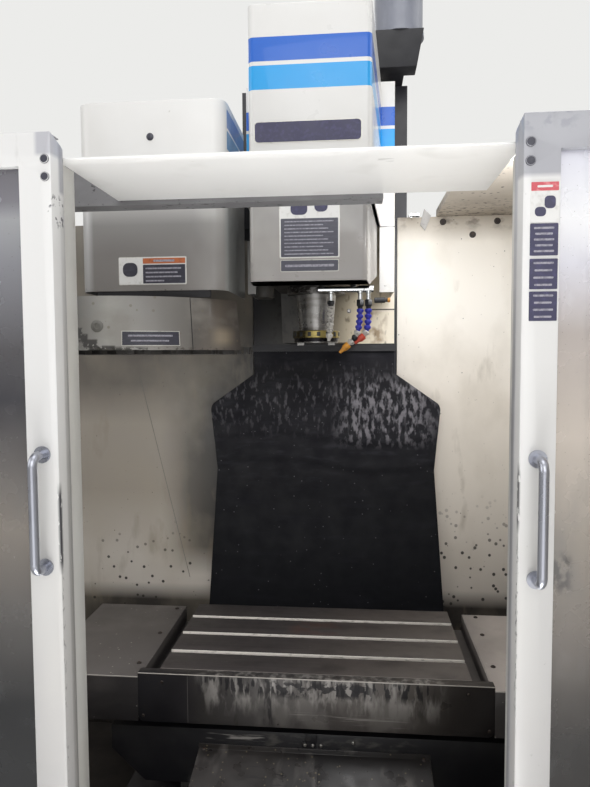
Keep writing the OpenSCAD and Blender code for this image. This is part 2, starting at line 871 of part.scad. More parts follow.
// A drain trough at each end of the table
module table_troughs() {
    x0 = table_l / 2;
    low = table_top_z - trough_drop;
    color(steel_guard) both_sides() {
        span([x0, guard_y, low], [x0 + sheet_t, trough_rear_y, table_top_z - trough_drop / 3]);
        span([x0 + sheet_t, guard_y, low], [trough_half_l - sheet_t, trough_rear_y, low + sheet_t]);
        span([trough_half_l - sheet_t, guard_y, low],
            [trough_half_l, trough_rear_y, table_top_z - wing_drop]);
    }
}

// A flat cover beyond each trough, with a folded front face and lips on the other sides
module table_wings() {
    top = table_top_z - wing_drop;
    color(steel_guard) both_sides() {
        span([trough_half_l, guard_y, top - sheet_t], [wing_half_l, trough_rear_y, top]);
        span([trough_half_l + (guard_half_l - trough_half_l), guard_y - sheet_t, table_top_z - guard_h],
            [wing_half_l, guard_y, top]);
        span([wing_half_l - sheet_t, guard_y, top - sheet_t - wing_lip],
            [wing_half_l, trough_rear_y, top - sheet_t]);
        span([trough_half_l, trough_rear_y - sheet_t, top - sheet_t - wing_lip],
            [wing_half_l - sheet_t, trough_rear_y, top - sheet_t]);
    }
}

// Head casting: a spindle block in front, a deeper body behind it and the slide plate
module head_casting() {
    color(paint_dark) difference() {
        union() {
            rotate([90, 0, 90]) translate([0, 0, -casting_half_w])
                linear_extrude(height = 2 * casting_half_w)
                polygon([[casting_front_y, casting_front_z], [casting_step_y, casting_front_z],
                    [casting_step_y + casting_half_w / 3, casting_rear_z],
                    [head_plate_rear_y - head_plate_t, casting_rear_z],
                    [head_plate_rear_y - head_plate_t, casting_top_z], [casting_front_y, casting_top_z]]);
            span([-head_plate_half_w, head_plate_rear_y - head_plate_t, casting_rear_z],
                [head_plate_half_w, head_plate_rear_y, casting_top_z + head_plate_up]);
        }
        translate([0, 0, casting_front_z - cut]) cylinder(r = cartridge_r + fit, h = casting_h + 2 * cut);
    }
    color(iron_grey) difference() {
        union() {
            translate([0, z_screw_y, casting_top_z - nut_l])
                cylinder(r = screw_r + bearing_wall, h = nut_l);
            span([-nut_r, head_plate_rear_y, casting_top_z - nut_l], [nut_r, z_screw_y, casting_top_z]);
        }
        translate([0, z_screw_y, casting_top_z - nut_l - cut])
            cylinder(r = screw_r + fit, h = nut_l + 2 * cut);
    }
}

module z_blocks() {
    color(steel_bright) both_sides() for (z = [casting_rear_z + z_block_low, casting_rear_z + z_block_high])
        translate([z_rail_x, throat, z]) rotate([90, 0, 0]) rotate([0, 0, 90]) guide_block();
}

// Plan of the head cover: narrow in front with round corners, wider behind, open at the rear
module cover_plan(left, right, inset) {
    r = cover_corner_r - inset;
    back = cover_rear_y + (inset > 0 ? cut : 0);
    spread = cover_flare;
    polygon(concat([[right + spread - inset, back]],
        [for (p = arc([right - inset - r, cover_front_y + inset + r], r, 0, -90)) p],
        [for (p = arc([-left + inset + r, cover_front_y + inset + r], r, -90, -180)) p],
        [[-left - spread + inset, back]]));
}

module head_cover_upper() {
    color(paint_white) difference() {
        translate([0, 0, cover_split_z]) linear_extrude(height = cover_top_z - cover_split_z)
            cover_plan(head_half_w, head_half_w, 0);
        translate([0, 0, cover_split_z - cut])
            linear_extrude(height = cover_top_z - cover_split_z - sheet_t + cut)
            cover_plan(head_half_w, head_half_w, sheet_t);
    }
}

// Lower cover: narrower on the right, its sides rising towards the rear
module head_cover_lower() {
    color(paint_white) difference() {
        translate([0, 0, cover_low_z]) linear_extrude(height = cover_split_z - cover_low_z)
            cover_plan(head_half_w, head_half_w - cover_narrow, 0);
        translate([0, 0, cover_low_z - cut]) linear_extrude(height = cover_split_z - cover_low_z + 2 * cut)
            cover_plan(head_half_w, head_half_w - cover_narrow, sheet_t);
        rotate([90, 0, 90]) translate([0, 0, -head_half_w * 2]) linear_extrude(height = head_half_w * 4)
            polygon([[casting_front_y, cover_low_z - cut], [cover_rear_y + cut, cover_low_z - cut],
                [cover_rear_y + cut, cover_low_z + cover_side_lift], [casting_front_y, cover_low_z]]);
    }
}

// Wider cover behind the head cover, over the motor
module head_cover_rear() {
    top = cover_top_z - rear_cover_drop;
    back = rear_cover_back_y;
    color(paint_white) difference() {
        span([-rear_cover_half_w, cover_rear_y, top - rear_cover_h], [rear_cover_half_w, back, top]);
        span([-rear_cover_half_w + sheet_t, cover_rear_y + sheet_t, top - rear_cover_h - cut],
            [rear_cover_half_w - sheet_t, back + cut, top - sheet_t]);
        span([-head_half_w - cover_flare + sheet_t, cover_rear_y - cut, top - rear_cover_h - cut],
            [head_half_w + cover_flare - sheet_t, cover_rear_y + 2 * sheet_t, top - sheet_t]);
    }
}

module spindle_motor() {
    z0 = casting_top_z + head_motor_lift;
    color(iron_grey) difference() {
        union() {
            translate([0, head_motor_y, z0]) linear_extrude(height = head_motor_h)
                polygon(round_rect(2 * head_motor_half_w, 2 * head_motor_half_w, head_motor_half_w / 4));
            for (x = [-1, 1], y = [-1, 1])
                translate([x * (head_motor_half_w - head_motor_post_in),
                    head_motor_y + y * (head_motor_half_w - head_motor_post_in),
                    casting_top_z]) cylinder(r = head_motor_post_r, h = head_motor_lift + cut);
        }
        translate([0, head_motor_y, z0 - cut])
            cylinder(r = head_motor_shaft_r + fit, h = head_motor_shaft_in + gap + cut);
    }
}

module motor_pulley() {
    color(iron_grey) translate([0, head_motor_y, casting_top_z + pulley_lift]) {
        cylinder(r = pulley_r, h = pulley_h);
        cylinder(r = head_motor_shaft_r, h = head_motor_lift - pulley_lift + head_motor_shaft_in);
    }
}

// Toothed belt between the two pulleys, as one closed band
module drive_belt() {
    r = pulley_r + gap;
    z = casting_top_z + pulley_lift + (pulley_h - belt_h) / 2;
    color(rubber_black) translate([0, 0, z]) difference() {
        union() {
            cylinder(r = r + belt_t, h = belt_h);
            translate([0, head_motor_y, 0]) cylinder(r = r + belt_t, h = belt_h);
            span([-r - belt_t, 0, 0], [r + belt_t, head_motor_y, belt_h]);
        }
        translate([0, 0, -cut]) cylinder(r = r, h = belt_h + 2 * cut);
        translate([0, head_motor_y, -cut]) cylinder(r = r, h = belt_h + 2 * cut);
        span([-r, 0, -cut], [r, head_motor_y, belt_h + cut]);
    }
}

// Cartridge: tapered nose, bolted flange under the casting and a body inside it
module spindle_cartridge() {
    z1 = cartridge_low_z + cartridge_taper_h;
    color(steel_bright) difference() {
        union() {
            translate([0, 0, cartridge_low_z])
                cylinder(r1 = cartridge_low_r, r2 = cartridge_high_r, h = cartridge_taper_h);
            translate([0, 0, z1]) cylinder(r = cartridge_flange_r, h = cartridge_flange_h);
            translate([0, 0, z1 + cartridge_flange_h]) cylinder(r = cartridge_r, h = cartridge_body_h);
        }
        translate([0, 0, cartridge_low_z - cut])
            cylinder(r = spindle_r + fit,
                h = cartridge_taper_h + cartridge_flange_h + cartridge_body_h + 2 * cut);
    }
}

// Spindle: nose with a steep taper and two drive keys, shaft and pulley
module spindle() {
    top = casting_top_z + pulley_lift + pulley_h;
    color(steel_bright) {
        difference() {
            union() {
                translate([0, 0, nose_z]) cylinder(r = nose_r, h = nose_h);
                translate([0, 0, nose_z + nose_h]) cylinder(r = spindle_r, h = top - nose_z - nose_h);
                translate([0, 0, casting_top_z + pulley_lift]) cylinder(r = pulley_r, h = pulley_h);
            }
            translate([0, 0, nose_z - cut]) cylinder(r = taper_mouth_r, h = taper_mouth_h + cut);
            translate([0, 0, nose_z + taper_mouth_h - gap])
                cylinder(r1 = taper_mouth_r, r2 = taper_end_r, h = taper_h);
        }
        for (s = [-1, 1]) translate([s * (taper_mouth_r + drive_key_l), 0, nose_z - drive_key_h / 2])
            cube([drive_key_l, drive_key_w, drive_key_h], center = true);
    }
}

module apron_clamp() {
    color(steel_guard) span([-clamp_half_w, apron_y - clamp_t, casting_rear_z - clamp_h],
        [clamp_half_w, apron_y, casting_rear_z]);
}

// Chrome tube under the casting that feeds the hoses
module coolant_manifold() {
    z = casting_front_z - manifold_drop;
    color(steel_bright) {
        translate([manifold_left_x, manifold_y, z]) rotate([0, 90, 0])
            cylinder(r = manifold_r, h = manifold_right_x - manifold_left_x);
        translate([manifold_stem_x, manifold_y, z]) cylinder(r = manifold_r, h = manifold_drop);
        translate([manifold_stem_x + manifold_right_x / 2, manifold_y, z])
            cylinder(r = manifold_r, h = manifold_drop);
    }
}

// Lean of bead k of hose i, growing towards the nozzle
function hose_lean(i, k) = hose_leans[i] * k / hose_counts[i];

// Place of the upper end of bead k of hose i, below the manifold
function hose_at(i, k) = k == 0 ? [0, 0, 0]
    : hose_at(i, k - 1) - hose_bead_pitch * [sin(hose_lean(i, k - 1)), 0, cos(hose_lean(i, k - 1))];

// Three segmented hoses that hang from the manifold, each of beads with a nozzle at its end
module coolant_hoses() {
    z0 = casting_front_z - manifold_drop - manifold_r;
    color(paint_blue) for (i = [0 : len(hose_xs) - 1]) translate([hose_xs[i], manifold_y, z0]) {
        for (k = [0 : hose_counts[i] - 1]) translate(hose_at(i, k)) rotate([0, hose_lean(i, k) + 180, 0])
            cylinder(r1 = hose_bead_waist_r, r2 = hose_bead_r, h = hose_bead_pitch + hose_bead_lap);
        translate(hose_at(i, hose_counts[i])) rotate([0, hose_lean(i, hose_counts[i]) + 180, 0])
            cylinder(r1 = nozzle_root_r, r2 = nozzle_tip_r, h = nozzle_l);
    }
}

// Welded bracket on the column's left side that carries the changer's rails
module changer_bracket() {
    z0 = changer_plate_low;
    arm_z = wall_top_z + sheet_t * 2;
    color(paint_dark) {
        span([changer_plate_left, changer_plate_y, z0],
            [changer_plate_right, changer_plate_y + changer_plate_t, z0 + changer_plate_h]);
        span([-column_half_w - changer_arm_w, changer_plate_y + changer_plate_t, arm_z],
            [-column_half_w, throat + changer_arm_in, arm_z + changer_arm_h]);
    }
    color(steel_bright) for (z = [0, changer_rail_pitch])
        translate([(changer_plate_left + changer_plate_right) / 2, changer_plate_y,
            z0 + changer_rail_lift + z])
        rotate([90, 0, 0]) guide_rail(changer_plate_right - changer_plate_left, changer_rail_w,
            changer_rail_h);
}

// Fixed cover over the changer's carriage, its front corners round, open at the bottom and rear
module changer_cover() {
    w = changer_cover_right - changer_cover_left;
    d = changer_cover_rear_y - changer_cover_front_y;
    x = (changer_cover_left + changer_cover_right) / 2;
    z = changer_guard_top() + changer_cover_lift;
    color(paint_white) translate([x, changer_cover_front_y, z]) {
        difference() {
            linear_extrude(height = changer_cover_h) changer_plan(w, d, 0);
            translate([0, 0, -cut]) linear_extrude(height = changer_cover_h - sheet_t + cut)
                changer_plan(w, d, sheet_t);
        }
        for (s = [-1, 1]) translate([s * (w / 2 - changer_tab_in), d,
            changer_plate_low + changer_plate_h / 2 - z])
            span([-changer_tab_w / 2, -changer_tab_t, -changer_tab_h / 2],
                [changer_tab_w / 2, changer_plate_y - changer_cover_rear_y, changer_tab_h / 2]);
    }
}

// Plan of the changer's cover, open at the rear where it is inset
module changer_plan(w, d, inset) {
    r = changer_cover_corner_r - inset;
    side = w / 2 - inset;
    rear = inset > 0 ? d + cut : d;
    polygon(concat([[side, rear]], arc([side - r, inset + r], r, 0, -90),
        arc([-side + r, inset + r], r, -90, -180), [[-side, rear]]));
}

function changer_guard_top() = guard_low_z + guard_ring_h;

// Carriage: slide blocks, arm, bearing housing and its flange, with the index motor on top
module changer_carriage() {
    z0 = changer_guard_top();
    z1 = z0 + carriage_flange_h + carriage_h;
    ry = changer_plate_y - changer_guide_h;
    color(iron_grey) translate([drum_x, 0, 0]) {
        difference() {
            union() {
                translate([0, 0, z0]) cylinder(r = carriage_flange_r, h = carriage_flange_h);
                translate([0, 0, z0 + carriage_flange_h]) cylinder(r = carriage_r, h = carriage_h);
                span([-carriage_arm_half_w, 0, z1 - carriage_arm_h], [carriage_arm_half_w, ry, z1]);
                span([-carriage_arm_half_w, ry - changer_plate_t, z1 - carriage_arm_h],
                    [carriage_arm_half_w, ry, changer_plate_low + changer_plate_h]);
            }
            translate([0, 0, z0 - cut]) cylinder(r = drum_shaft_r + fit, h = drum_shaft_in + gap + cut);
        }
        for (z = [0, changer_rail_pitch])
            translate([0, changer_plate_y, changer_plate_low + changer_rail_lift + z])
            rotate([90, 0, 0]) guide_block(2 * carriage_arm_half_w, changer_block_w, changer_block_h,
                changer_guide_h,
                changer_rail_w, changer_rail_h);
        translate([-index_motor_half_w, -index_motor_half_w, z1])
            cube([2 * index_motor_half_w, 2 * index_motor_half_w, index_motor_h]);
    }
}

// Sloping ring guard round the drum's front, hung from the carriage's flange by its top plate
module changer_guard() {
    h = guard_ring_h;
    color(paint_white) translate([drum_x, 0, guard_low_z]) rotate([0, 0, guard_from])
        rotate_extrude(angle = guard_sweep, $fn = 96)
        polygon([[guard_low_r - guard_t, 0], [guard_low_r, 0], [guard_high_r, h], [guard_plate_r, h],
            [guard_plate_r, h - guard_t], [guard_high_r - guard_t, h - guard_t]]);
}

// Tool drum: a disc with a fork for each tool, its hub and shaft
module changer_drum() {
    top = changer_guard_top() - guard_t;
    color(steel_bright) translate([drum_x, 0, drum_low_z]) {
        difference() {
            union() {
                cylinder(r = drum_r, h = drum_t, $fn = 96);
                for (i = [0 : fork_count - 1]) rotate([0, 0, i * 360 / fork_count])
                    translate([drum_r - fork_in, -fork_w / 2, 0])
                    cube([pocket_pitch_r + fork_out - drum_r + fork_in, fork_w, drum_t]);
            }
            for (i = [0 : fork_count - 1]) rotate([0, 0, i * 360 / fork_count]) {
                translate([pocket_pitch_r, 0, -cut])
                    cylinder(r = fork_notch_r, h = drum_t + 2 * cut, $fn = 24);
                translate([pocket_pitch_r, -fork_mouth_w / 2, -cut])
                    cube([fork_out + cut, fork_mouth_w, drum_t + 2 * cut]);
            }
        }
        translate([0, 0, drum_t]) cylinder(r = hub_r, h = top - drum_low_z - drum_t - gap);
        cylinder(r = drum_shaft_r, h = changer_guard_top() + drum_shaft_in - drum_low_z);
    }
}

// Door pan: folded from one sheet, with a bevelled inner edge and a flanged window
module door_frame() {
    h = door_top_z - door_low_z;
    x0 = door_inner_x;
    x1 = door_inner_x + door_w;
    fx = x0 + door_fold_in;
    yb = door_y;
    yf = door_front_y;
    yi = yf + door_fold_d;
    wx0 = x0 + post_w;
    wx1 = x1 - stile_w;
    wz0 = door_low_z + rail_low_h;
    wz1 = door_top_z - rail_top_h;
    difference() {
        union() {
            difference() {
                translate([0, 0, door_low_z]) linear_extrude(height = h)
                    polygon([[x0, yb], [x0, yi], [fx, yf], [x1, yf], [x1, yb]]);
                translate([0, 0, door_low_z + door_skin]) linear_extrude(height = h - 2 * door_skin)
                    polygon([[x0 + door_skin, yb + cut], [x0 + door_skin, yi + door_skin / 2],
                        [fx + door_skin / 2, yf + door_skin], [x1 - door_skin, yf + door_skin],
                            [x1 - door_skin, yb + cut]]);
            }
            span([wx0 - door_skin, yf, wz0 - door_skin], [wx1 + door_skin, yb, wz1 + door_skin]);
        }
        span([wx0, yf - cut, wz0], [wx1, yb + cut, wz1]);
        translate([x0 - cut, 0, 0]) rotate([90, 0, 90])
            linear_extrude(height = door_fold_in + door_skin + cut)
            polygon([[yf, door_top_z], [yb + cut, door_top_z - door_corner_cut],
                [yb + cut, door_top_z + cut], [yf, door_top_z + cut]]);
    }
    for (x = [x0 + post_w, x1 - stile_w - glide_w]) difference() {
        span([x, yf + door_skin, sill_top_z + gap], [x + glide_w, yb, door_low_z]);
        span([x - cut, door_y - door_t / 2 - track_w / 2 - gap, sill_top_z],
            [x + glide_w + cut, door_y - door_t / 2 + track_w / 2 + gap, sill_top_z + track_h + gap]);
    }
    for (z = plug_zs) translate([plug_x, yf, z]) rotate([90, 0, 0]) cylinder(r = plug_r, h = plug_t);
}

module door_glass() {
    span([door_inner_x + post_w, door_front_y + glass_in, door_low_z + rail_low_h],
        [door_inner_x + door_w - stile_w, door_front_y + glass_in + glass_t, door_top_z - rail_top_h]);
}

// D-shaped pull: a round bar with two quarter bends on two feet
module door_handle() {
    out = handle_out - handle_bend_r;
    for (s = [0, 1]) translate([handle_x, door_front_y, handle_low_z + s * handle_h]) {
        rotate([90, 0, 0]) cylinder(r = handle_foot_r, h = handle_foot_t);
        rotate([90, 0, 0]) cylinder(r = handle_r, h = out);
        mirror([0, 0, s]) translate([0, -out, handle_bend_r]) rotate([0, 90, 0]) rotate([0, 0, -90])
            rotate_extrude(angle = 90) translate([handle_bend_r, 0]) circle(r = handle_r);
    }
    translate([handle_x, door_front_y - handle_out, handle_low_z + handle_bend_r])
        cylinder(r = handle_r, h = handle_h - 2 * handle_bend_r);
}

module left_door() { color(paint_white) mirror([1, 0, 0]) door_frame(); }
module right_door() { color(paint_white) door_frame(); }
module left_window() { color("#5A5C60") mirror([1, 0, 0]) door_glass(); }
module right_window() { color("#5A5C60") door_glass(); }
module left_handle() { color(steel_bright) mirror([1, 0, 0]) door_handle(); }
module right_handle() { color(steel_bright) door_handle(); }

// Position of a control on the pendant's face, as shares of its width and height
function control_at(i) = [post_x + post_r - pendant_w + control_x_shares[i] * pendant_w, pendant_front_y,
    pendant_low_z + control_z_share * pendant_h];

// Control pendant: a rounded housing with a sunk screen, a keypad, and an arm round the post
module pendant() {
    x0 = post_x + post_r - pendant_w;
    color(paint_cream) difference() {
        union() {
            translate([x0 + pendant_w / 2, pendant_front_y + pendant_t, pendant_low_z + pendant_h / 2])
                rotate([90, 0, 0])
                linear_extrude(height = pendant_t)
                    polygon(round_rect(pendant_w, pendant_h, pendant_corner_r));
            span([post_x - pendant_arm_w / 2, pendant_front_y + pendant_t, pendant_arm_z - pendant_h / 4],
                [post_x + pendant_arm_w / 2, pendant_front_y + pendant_t + pendant_arm_w / 2,
                    pendant_arm_z + pendant_arm_h]);
            span([post_x - pendant_arm_w / 2, pendant_front_y + pendant_t, pendant_arm_z],
                [post_x + pendant_arm_w / 2, post_y, pendant_arm_z + pendant_arm_h]);
            translate([post_x, post_y, pendant_arm_z]) cylinder(r = post_r, h = pendant_arm_h);
        }
        span([x0 + bezel, pendant_front_y - cut, pendant_low_z + pendant_h - bezel - screen_h],
            [x0 + bezel + screen_w, pendant_front_y + screen_deep, pendant_low_z + pendant_h - bezel]);
        for (i = [0, 1, 2]) translate(control_at(i)) rotate([-90, 0, 0]) translate([0, 0, -cut])
            cylinder(r = [estop_stem_r, button_r, wheel_stem_r][i] + fit, h = pendant_t / 4 + cut);
        translate([post_x, post_y, pendant_arm_z - cut])
            cylinder(r = post_r / 2 + fit, h = pendant_arm_h + 2 * cut);
    }
    color(steel_guard) span([x0 + bezel, pendant_front_y - keypad_t,
        pendant_low_z + pendant_h * control_z_share * 2],
        [x0 + pendant_w - bezel, pendant_front_y,
            pendant_low_z + pendant_h * control_z_share * 2 + keypad_h]);
    color(paint_dark) span([x0 + bezel, pendant_front_y + screen_deep - keypad_t,
        pendant_low_z + pendant_h - bezel - screen_h],
        [x0 + bezel + screen_w, pendant_front_y + screen_deep, pendant_low_z + pendant_h - bezel]);
}

module estop_button() {
    color("#C8281E") translate(control_at(0)) rotate([90, 0, 0]) {
        translate([0, 0, -pendant_t / 4 + button_in])
            cylinder(r = estop_stem_r, h = pendant_t / 4 - button_in + estop_out - estop_head_h);
        translate([0, 0, estop_out - estop_head_h]) cylinder(r = estop_r, h = estop_head_h);
    }
}

module start_button() {
    color("#2E9E4B") translate(control_at(1)) rotate([90, 0, 0])
        translate([0, 0, -pendant_t / 4 + button_in])
            cylinder(r = button_r, h = pendant_t / 4 - button_in + button_h);
}

module jog_wheel() {
    color(paint_dark) translate(control_at(2)) rotate([90, 0, 0]) {
        translate([0, 0, -pendant_t / 4 + button_in]) cylinder(r = wheel_stem_r, h = pendant_t / 4);
        translate([0, 0, keypad_t]) cylinder(r = wheel_r, h = wheel_h);
        translate([wheel_r / 2, 0, keypad_t + wheel_h]) cylinder(r = wheel_crank_r, h = wheel_h / 2);
    }
}

// Electrical cabinet behind the column, open at its rear, with hinge knuckles on its left edge
module electrical_cabinet() {
    y1 = cabinet_rear_y - cabinet_door_t - gap;
    color(paint_white) difference() {
        span([-cabinet_half_w, column_rear_y, cabinet_low_z],
            [cabinet_half_w, y1, cabinet_low_z + cabinet_h]);
        span([-cabinet_half_w + cabinet_wall, column_rear_y + cabinet_wall, cabinet_low_z + cabinet_wall],
            [cabinet_half_w - cabinet_wall, y1 + cut, cabinet_low_z + cabinet_h - cabinet_wall]);
    }
    color(steel_bright) for (k = cabinet_hinge_shares)
        translate([-cabinet_half_w - cabinet_knuckle_out, cabinet_rear_y,
            cabinet_low_z + k * cabinet_h]) {
        translate([0, 0, -cabinet_knuckle_h]) cylinder(r = cabinet_knuckle_r, h = cabinet_knuckle_h - gap);
        cylinder(r = cabinet_pin_r, h = 2 * cabinet_knuckle_h, center = true);
        span([-cabinet_knuckle_r, -cabinet_door_t * 3, -cabinet_knuckle_h], [0, 0, -gap]);
        span([-cabinet_knuckle_r, -cabinet_door_t * 3, -cabinet_knuckle_h],
            [cabinet_knuckle_out, -cabinet_door_t - 2 * gap, -gap]);
    }
}

module cabinet_door() {
    color(paint_white) {
        span([-cabinet_half_w, cabinet_rear_y - cabinet_door_t, cabinet_low_z],
            [cabinet_half_w, cabinet_rear_y, cabinet_low_z + cabinet_h]);
        for (k = cabinet_hinge_shares) translate([-cabinet_half_w - cabinet_knuckle_out, cabinet_rear_y,
            cabinet_low_z + k * cabinet_h]) difference() {
            union() {
                cylinder(r = cabinet_knuckle_r, h = cabinet_knuckle_h);
                span([0, -cabinet_knuckle_r, 0], [cabinet_knuckle_out + cut, 0, cabinet_knuckle_h]);
            }
            translate([0, 0, -cut]) cylinder(r = cabinet_pin_r + fit, h = cabinet_knuckle_h + 2 * cut);
        }
    }
    color(steel_bright) translate([cabinet_half_w - cabinet_latch_in, cabinet_rear_y,
        cabinet_low_z + cabinet_h / 2]) rotate([-90, 0, 0])
        cylinder(r = cabinet_latch_r, h = cabinet_latch_out);
}

leveling_pads();
base_casting();
column();
y_rails();
z_rails();
z_belt_housing();
axis_motors();
chip_pan();
side_panels();
rear_walls();
roof_panel();
front_panels();
front_sill();
header_tray();
header_angle();
rubber_apron();
y_screw();
z_screw();
saddle();
y_blocks();
x_rails();
x_motor();
x_screw();
saddle_front_cover();
table();
x_blocks();
table_front_guard();
table_troughs();
table_wings();
head_casting();
z_blocks();
head_cover_upper();
head_cover_lower();
head_cover_rear();
spindle_motor();
motor_pulley();
drive_belt();
spindle_cartridge();
spindle();
apron_clamp();
coolant_manifold();
coolant_hoses();
changer_bracket();
changer_cover();
changer_carriage();
changer_guard();
changer_drum();
left_door();
left_window();
left_handle();
right_door();
right_window();
right_handle();
pendant();
estop_button();
start_button();
jog_wheel();
electrical_cabinet();
cabinet_door();
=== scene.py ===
"""Vertical machining center with sliding doors: finishes, trim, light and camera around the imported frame."""

import logging
import math
from dataclasses import dataclass, field
from enum import Enum

import bmesh
import bpy
from mathutils import Matrix, Vector


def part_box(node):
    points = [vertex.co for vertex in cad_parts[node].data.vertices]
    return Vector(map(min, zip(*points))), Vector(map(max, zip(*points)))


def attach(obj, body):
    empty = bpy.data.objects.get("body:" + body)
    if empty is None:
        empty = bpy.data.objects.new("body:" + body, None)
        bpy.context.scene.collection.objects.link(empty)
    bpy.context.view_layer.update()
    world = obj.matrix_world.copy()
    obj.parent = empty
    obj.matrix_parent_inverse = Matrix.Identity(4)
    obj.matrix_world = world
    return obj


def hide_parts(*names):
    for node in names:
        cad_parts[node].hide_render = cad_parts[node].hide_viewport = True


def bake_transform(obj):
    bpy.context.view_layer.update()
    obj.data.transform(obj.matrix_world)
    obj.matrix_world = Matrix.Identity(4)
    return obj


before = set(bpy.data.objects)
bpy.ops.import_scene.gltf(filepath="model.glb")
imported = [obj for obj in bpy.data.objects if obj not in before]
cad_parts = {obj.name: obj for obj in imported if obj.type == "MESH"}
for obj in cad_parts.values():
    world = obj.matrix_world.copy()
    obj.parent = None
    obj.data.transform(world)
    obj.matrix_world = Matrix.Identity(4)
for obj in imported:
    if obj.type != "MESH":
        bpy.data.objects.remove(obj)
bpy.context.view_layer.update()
log = logging.getLogger("machining_center")

MM = 0.001


class Axis(Enum):
    """A direction of the row frame, as the index that nodes and vectors use."""

    X = 0
    Y = 1
    Z = 2


class Pattern(Enum):
    """How a layer's mask is drawn."""

    CLOUD = "cloud"
    CELLS = "cells"
    EVEN = "even"


def linear(code: str) -> tuple[float, float, float, float]:
    """Turns an sRGB hex colour into the linear colour that Blender's sockets take.

    Args:
        code: A colour such as "#ECEBE6".

    Returns:
        Linear red, green and blue, with an alpha of 1.
    """
    parts = [int(code[i:i + 2], 16) / 255 for i in (1, 3, 5)]
    return tuple(c / 12.92 if c <= 0.04045 else ((c + 0.055) / 1.055) ** 2.4 for c in parts) + (1.0,)


def put(tree: bpy.types.NodeTree, kind: str, inputs: dict | None = None, **settings) -> bpy.types.Node:
    """Adds a node with its settings, and links or fills its sockets.

    Args:
        tree: The material's or world's node tree.
        kind: The node's type name.
        inputs: Socket name or index to a value, or to the output socket that feeds it.
        **settings: Attributes of the node.

    Returns:
        The new node.
    """
    node = tree.nodes.new(kind)
    for name, value in settings.items():
        setattr(node, name, value)
    for name, value in (inputs or {}).items():
        if isinstance(value, bpy.types.NodeSocket):
            tree.links.new(value, node.inputs[name])
        else:
            node.inputs[name].default_value = value
    return node


Paint = bpy.types.NodeSocket | tuple[float, float, float, float]


@dataclass(frozen=True)
class Fade:
    """Limits a layer to one side of the object: full at one place along an axis, none at another."""

    axis: Axis
    full: float
    none: float


def between(axis: Axis, low: float, high: float, soft: float = 0.01) -> tuple[Fade, Fade]:
    """Fades that keep a layer between two places.

    Args:
        axis: The direction in which the layer is kept.
        low: Where it is full at the lower side, in metres.
        high: Where it is full at the upper side.
        soft: How far outside them it has gone.

    Returns:
        The lower and the upper fade.
    """
    return Fade(axis, low, low - soft), Fade(axis, high, high + soft)


@dataclass(frozen=True)
class Ramp:
    """A colour that changes along an axis, by places in metres, where its fades let it show."""

    axis: Axis
    stops: tuple[tuple[float, str], ...]
    fades: tuple[Fade, ...] = ()
    strength: float = 1.0


@dataclass(frozen=True)
class Layer:
    """A stain, a wear mark or a shade of the surface.

    size_mm is the size of its patches along X, Y and Z. It shows where the pattern passes from start to full.
    """

    colour: str
    size_mm: tuple[float, float, float]
    start: float
    full: float
    strength: float = 1.0
    pattern: Pattern = Pattern.CLOUD
    detail: float = 4.0
    fades: tuple[Fade, ...] = ()


def tint(colour: str, strength: float, *fades: Fade) -> Layer:
    """An even layer that only its fades shape, such as soot or a scuffed patch."""
    return Layer(colour, (100, 100, 100), 0.0, 1.0, strength, Pattern.EVEN, fades=fades)


@dataclass(frozen=True)
class Band:
    """A sharp band of colour between two places along an axis, in metres, kept to a box by limits."""

    axis: Axis
    low: float
    high: float
    colour: str
    limits: tuple[Fade, ...] = ()


@dataclass(frozen=True)
class Relief:
    """Fine unevenness of the surface, by the size of its bumps along X, Y and Z and their height."""

    size_mm: tuple[float, float, float]
    height_mm: float
    detail: float = 3.0


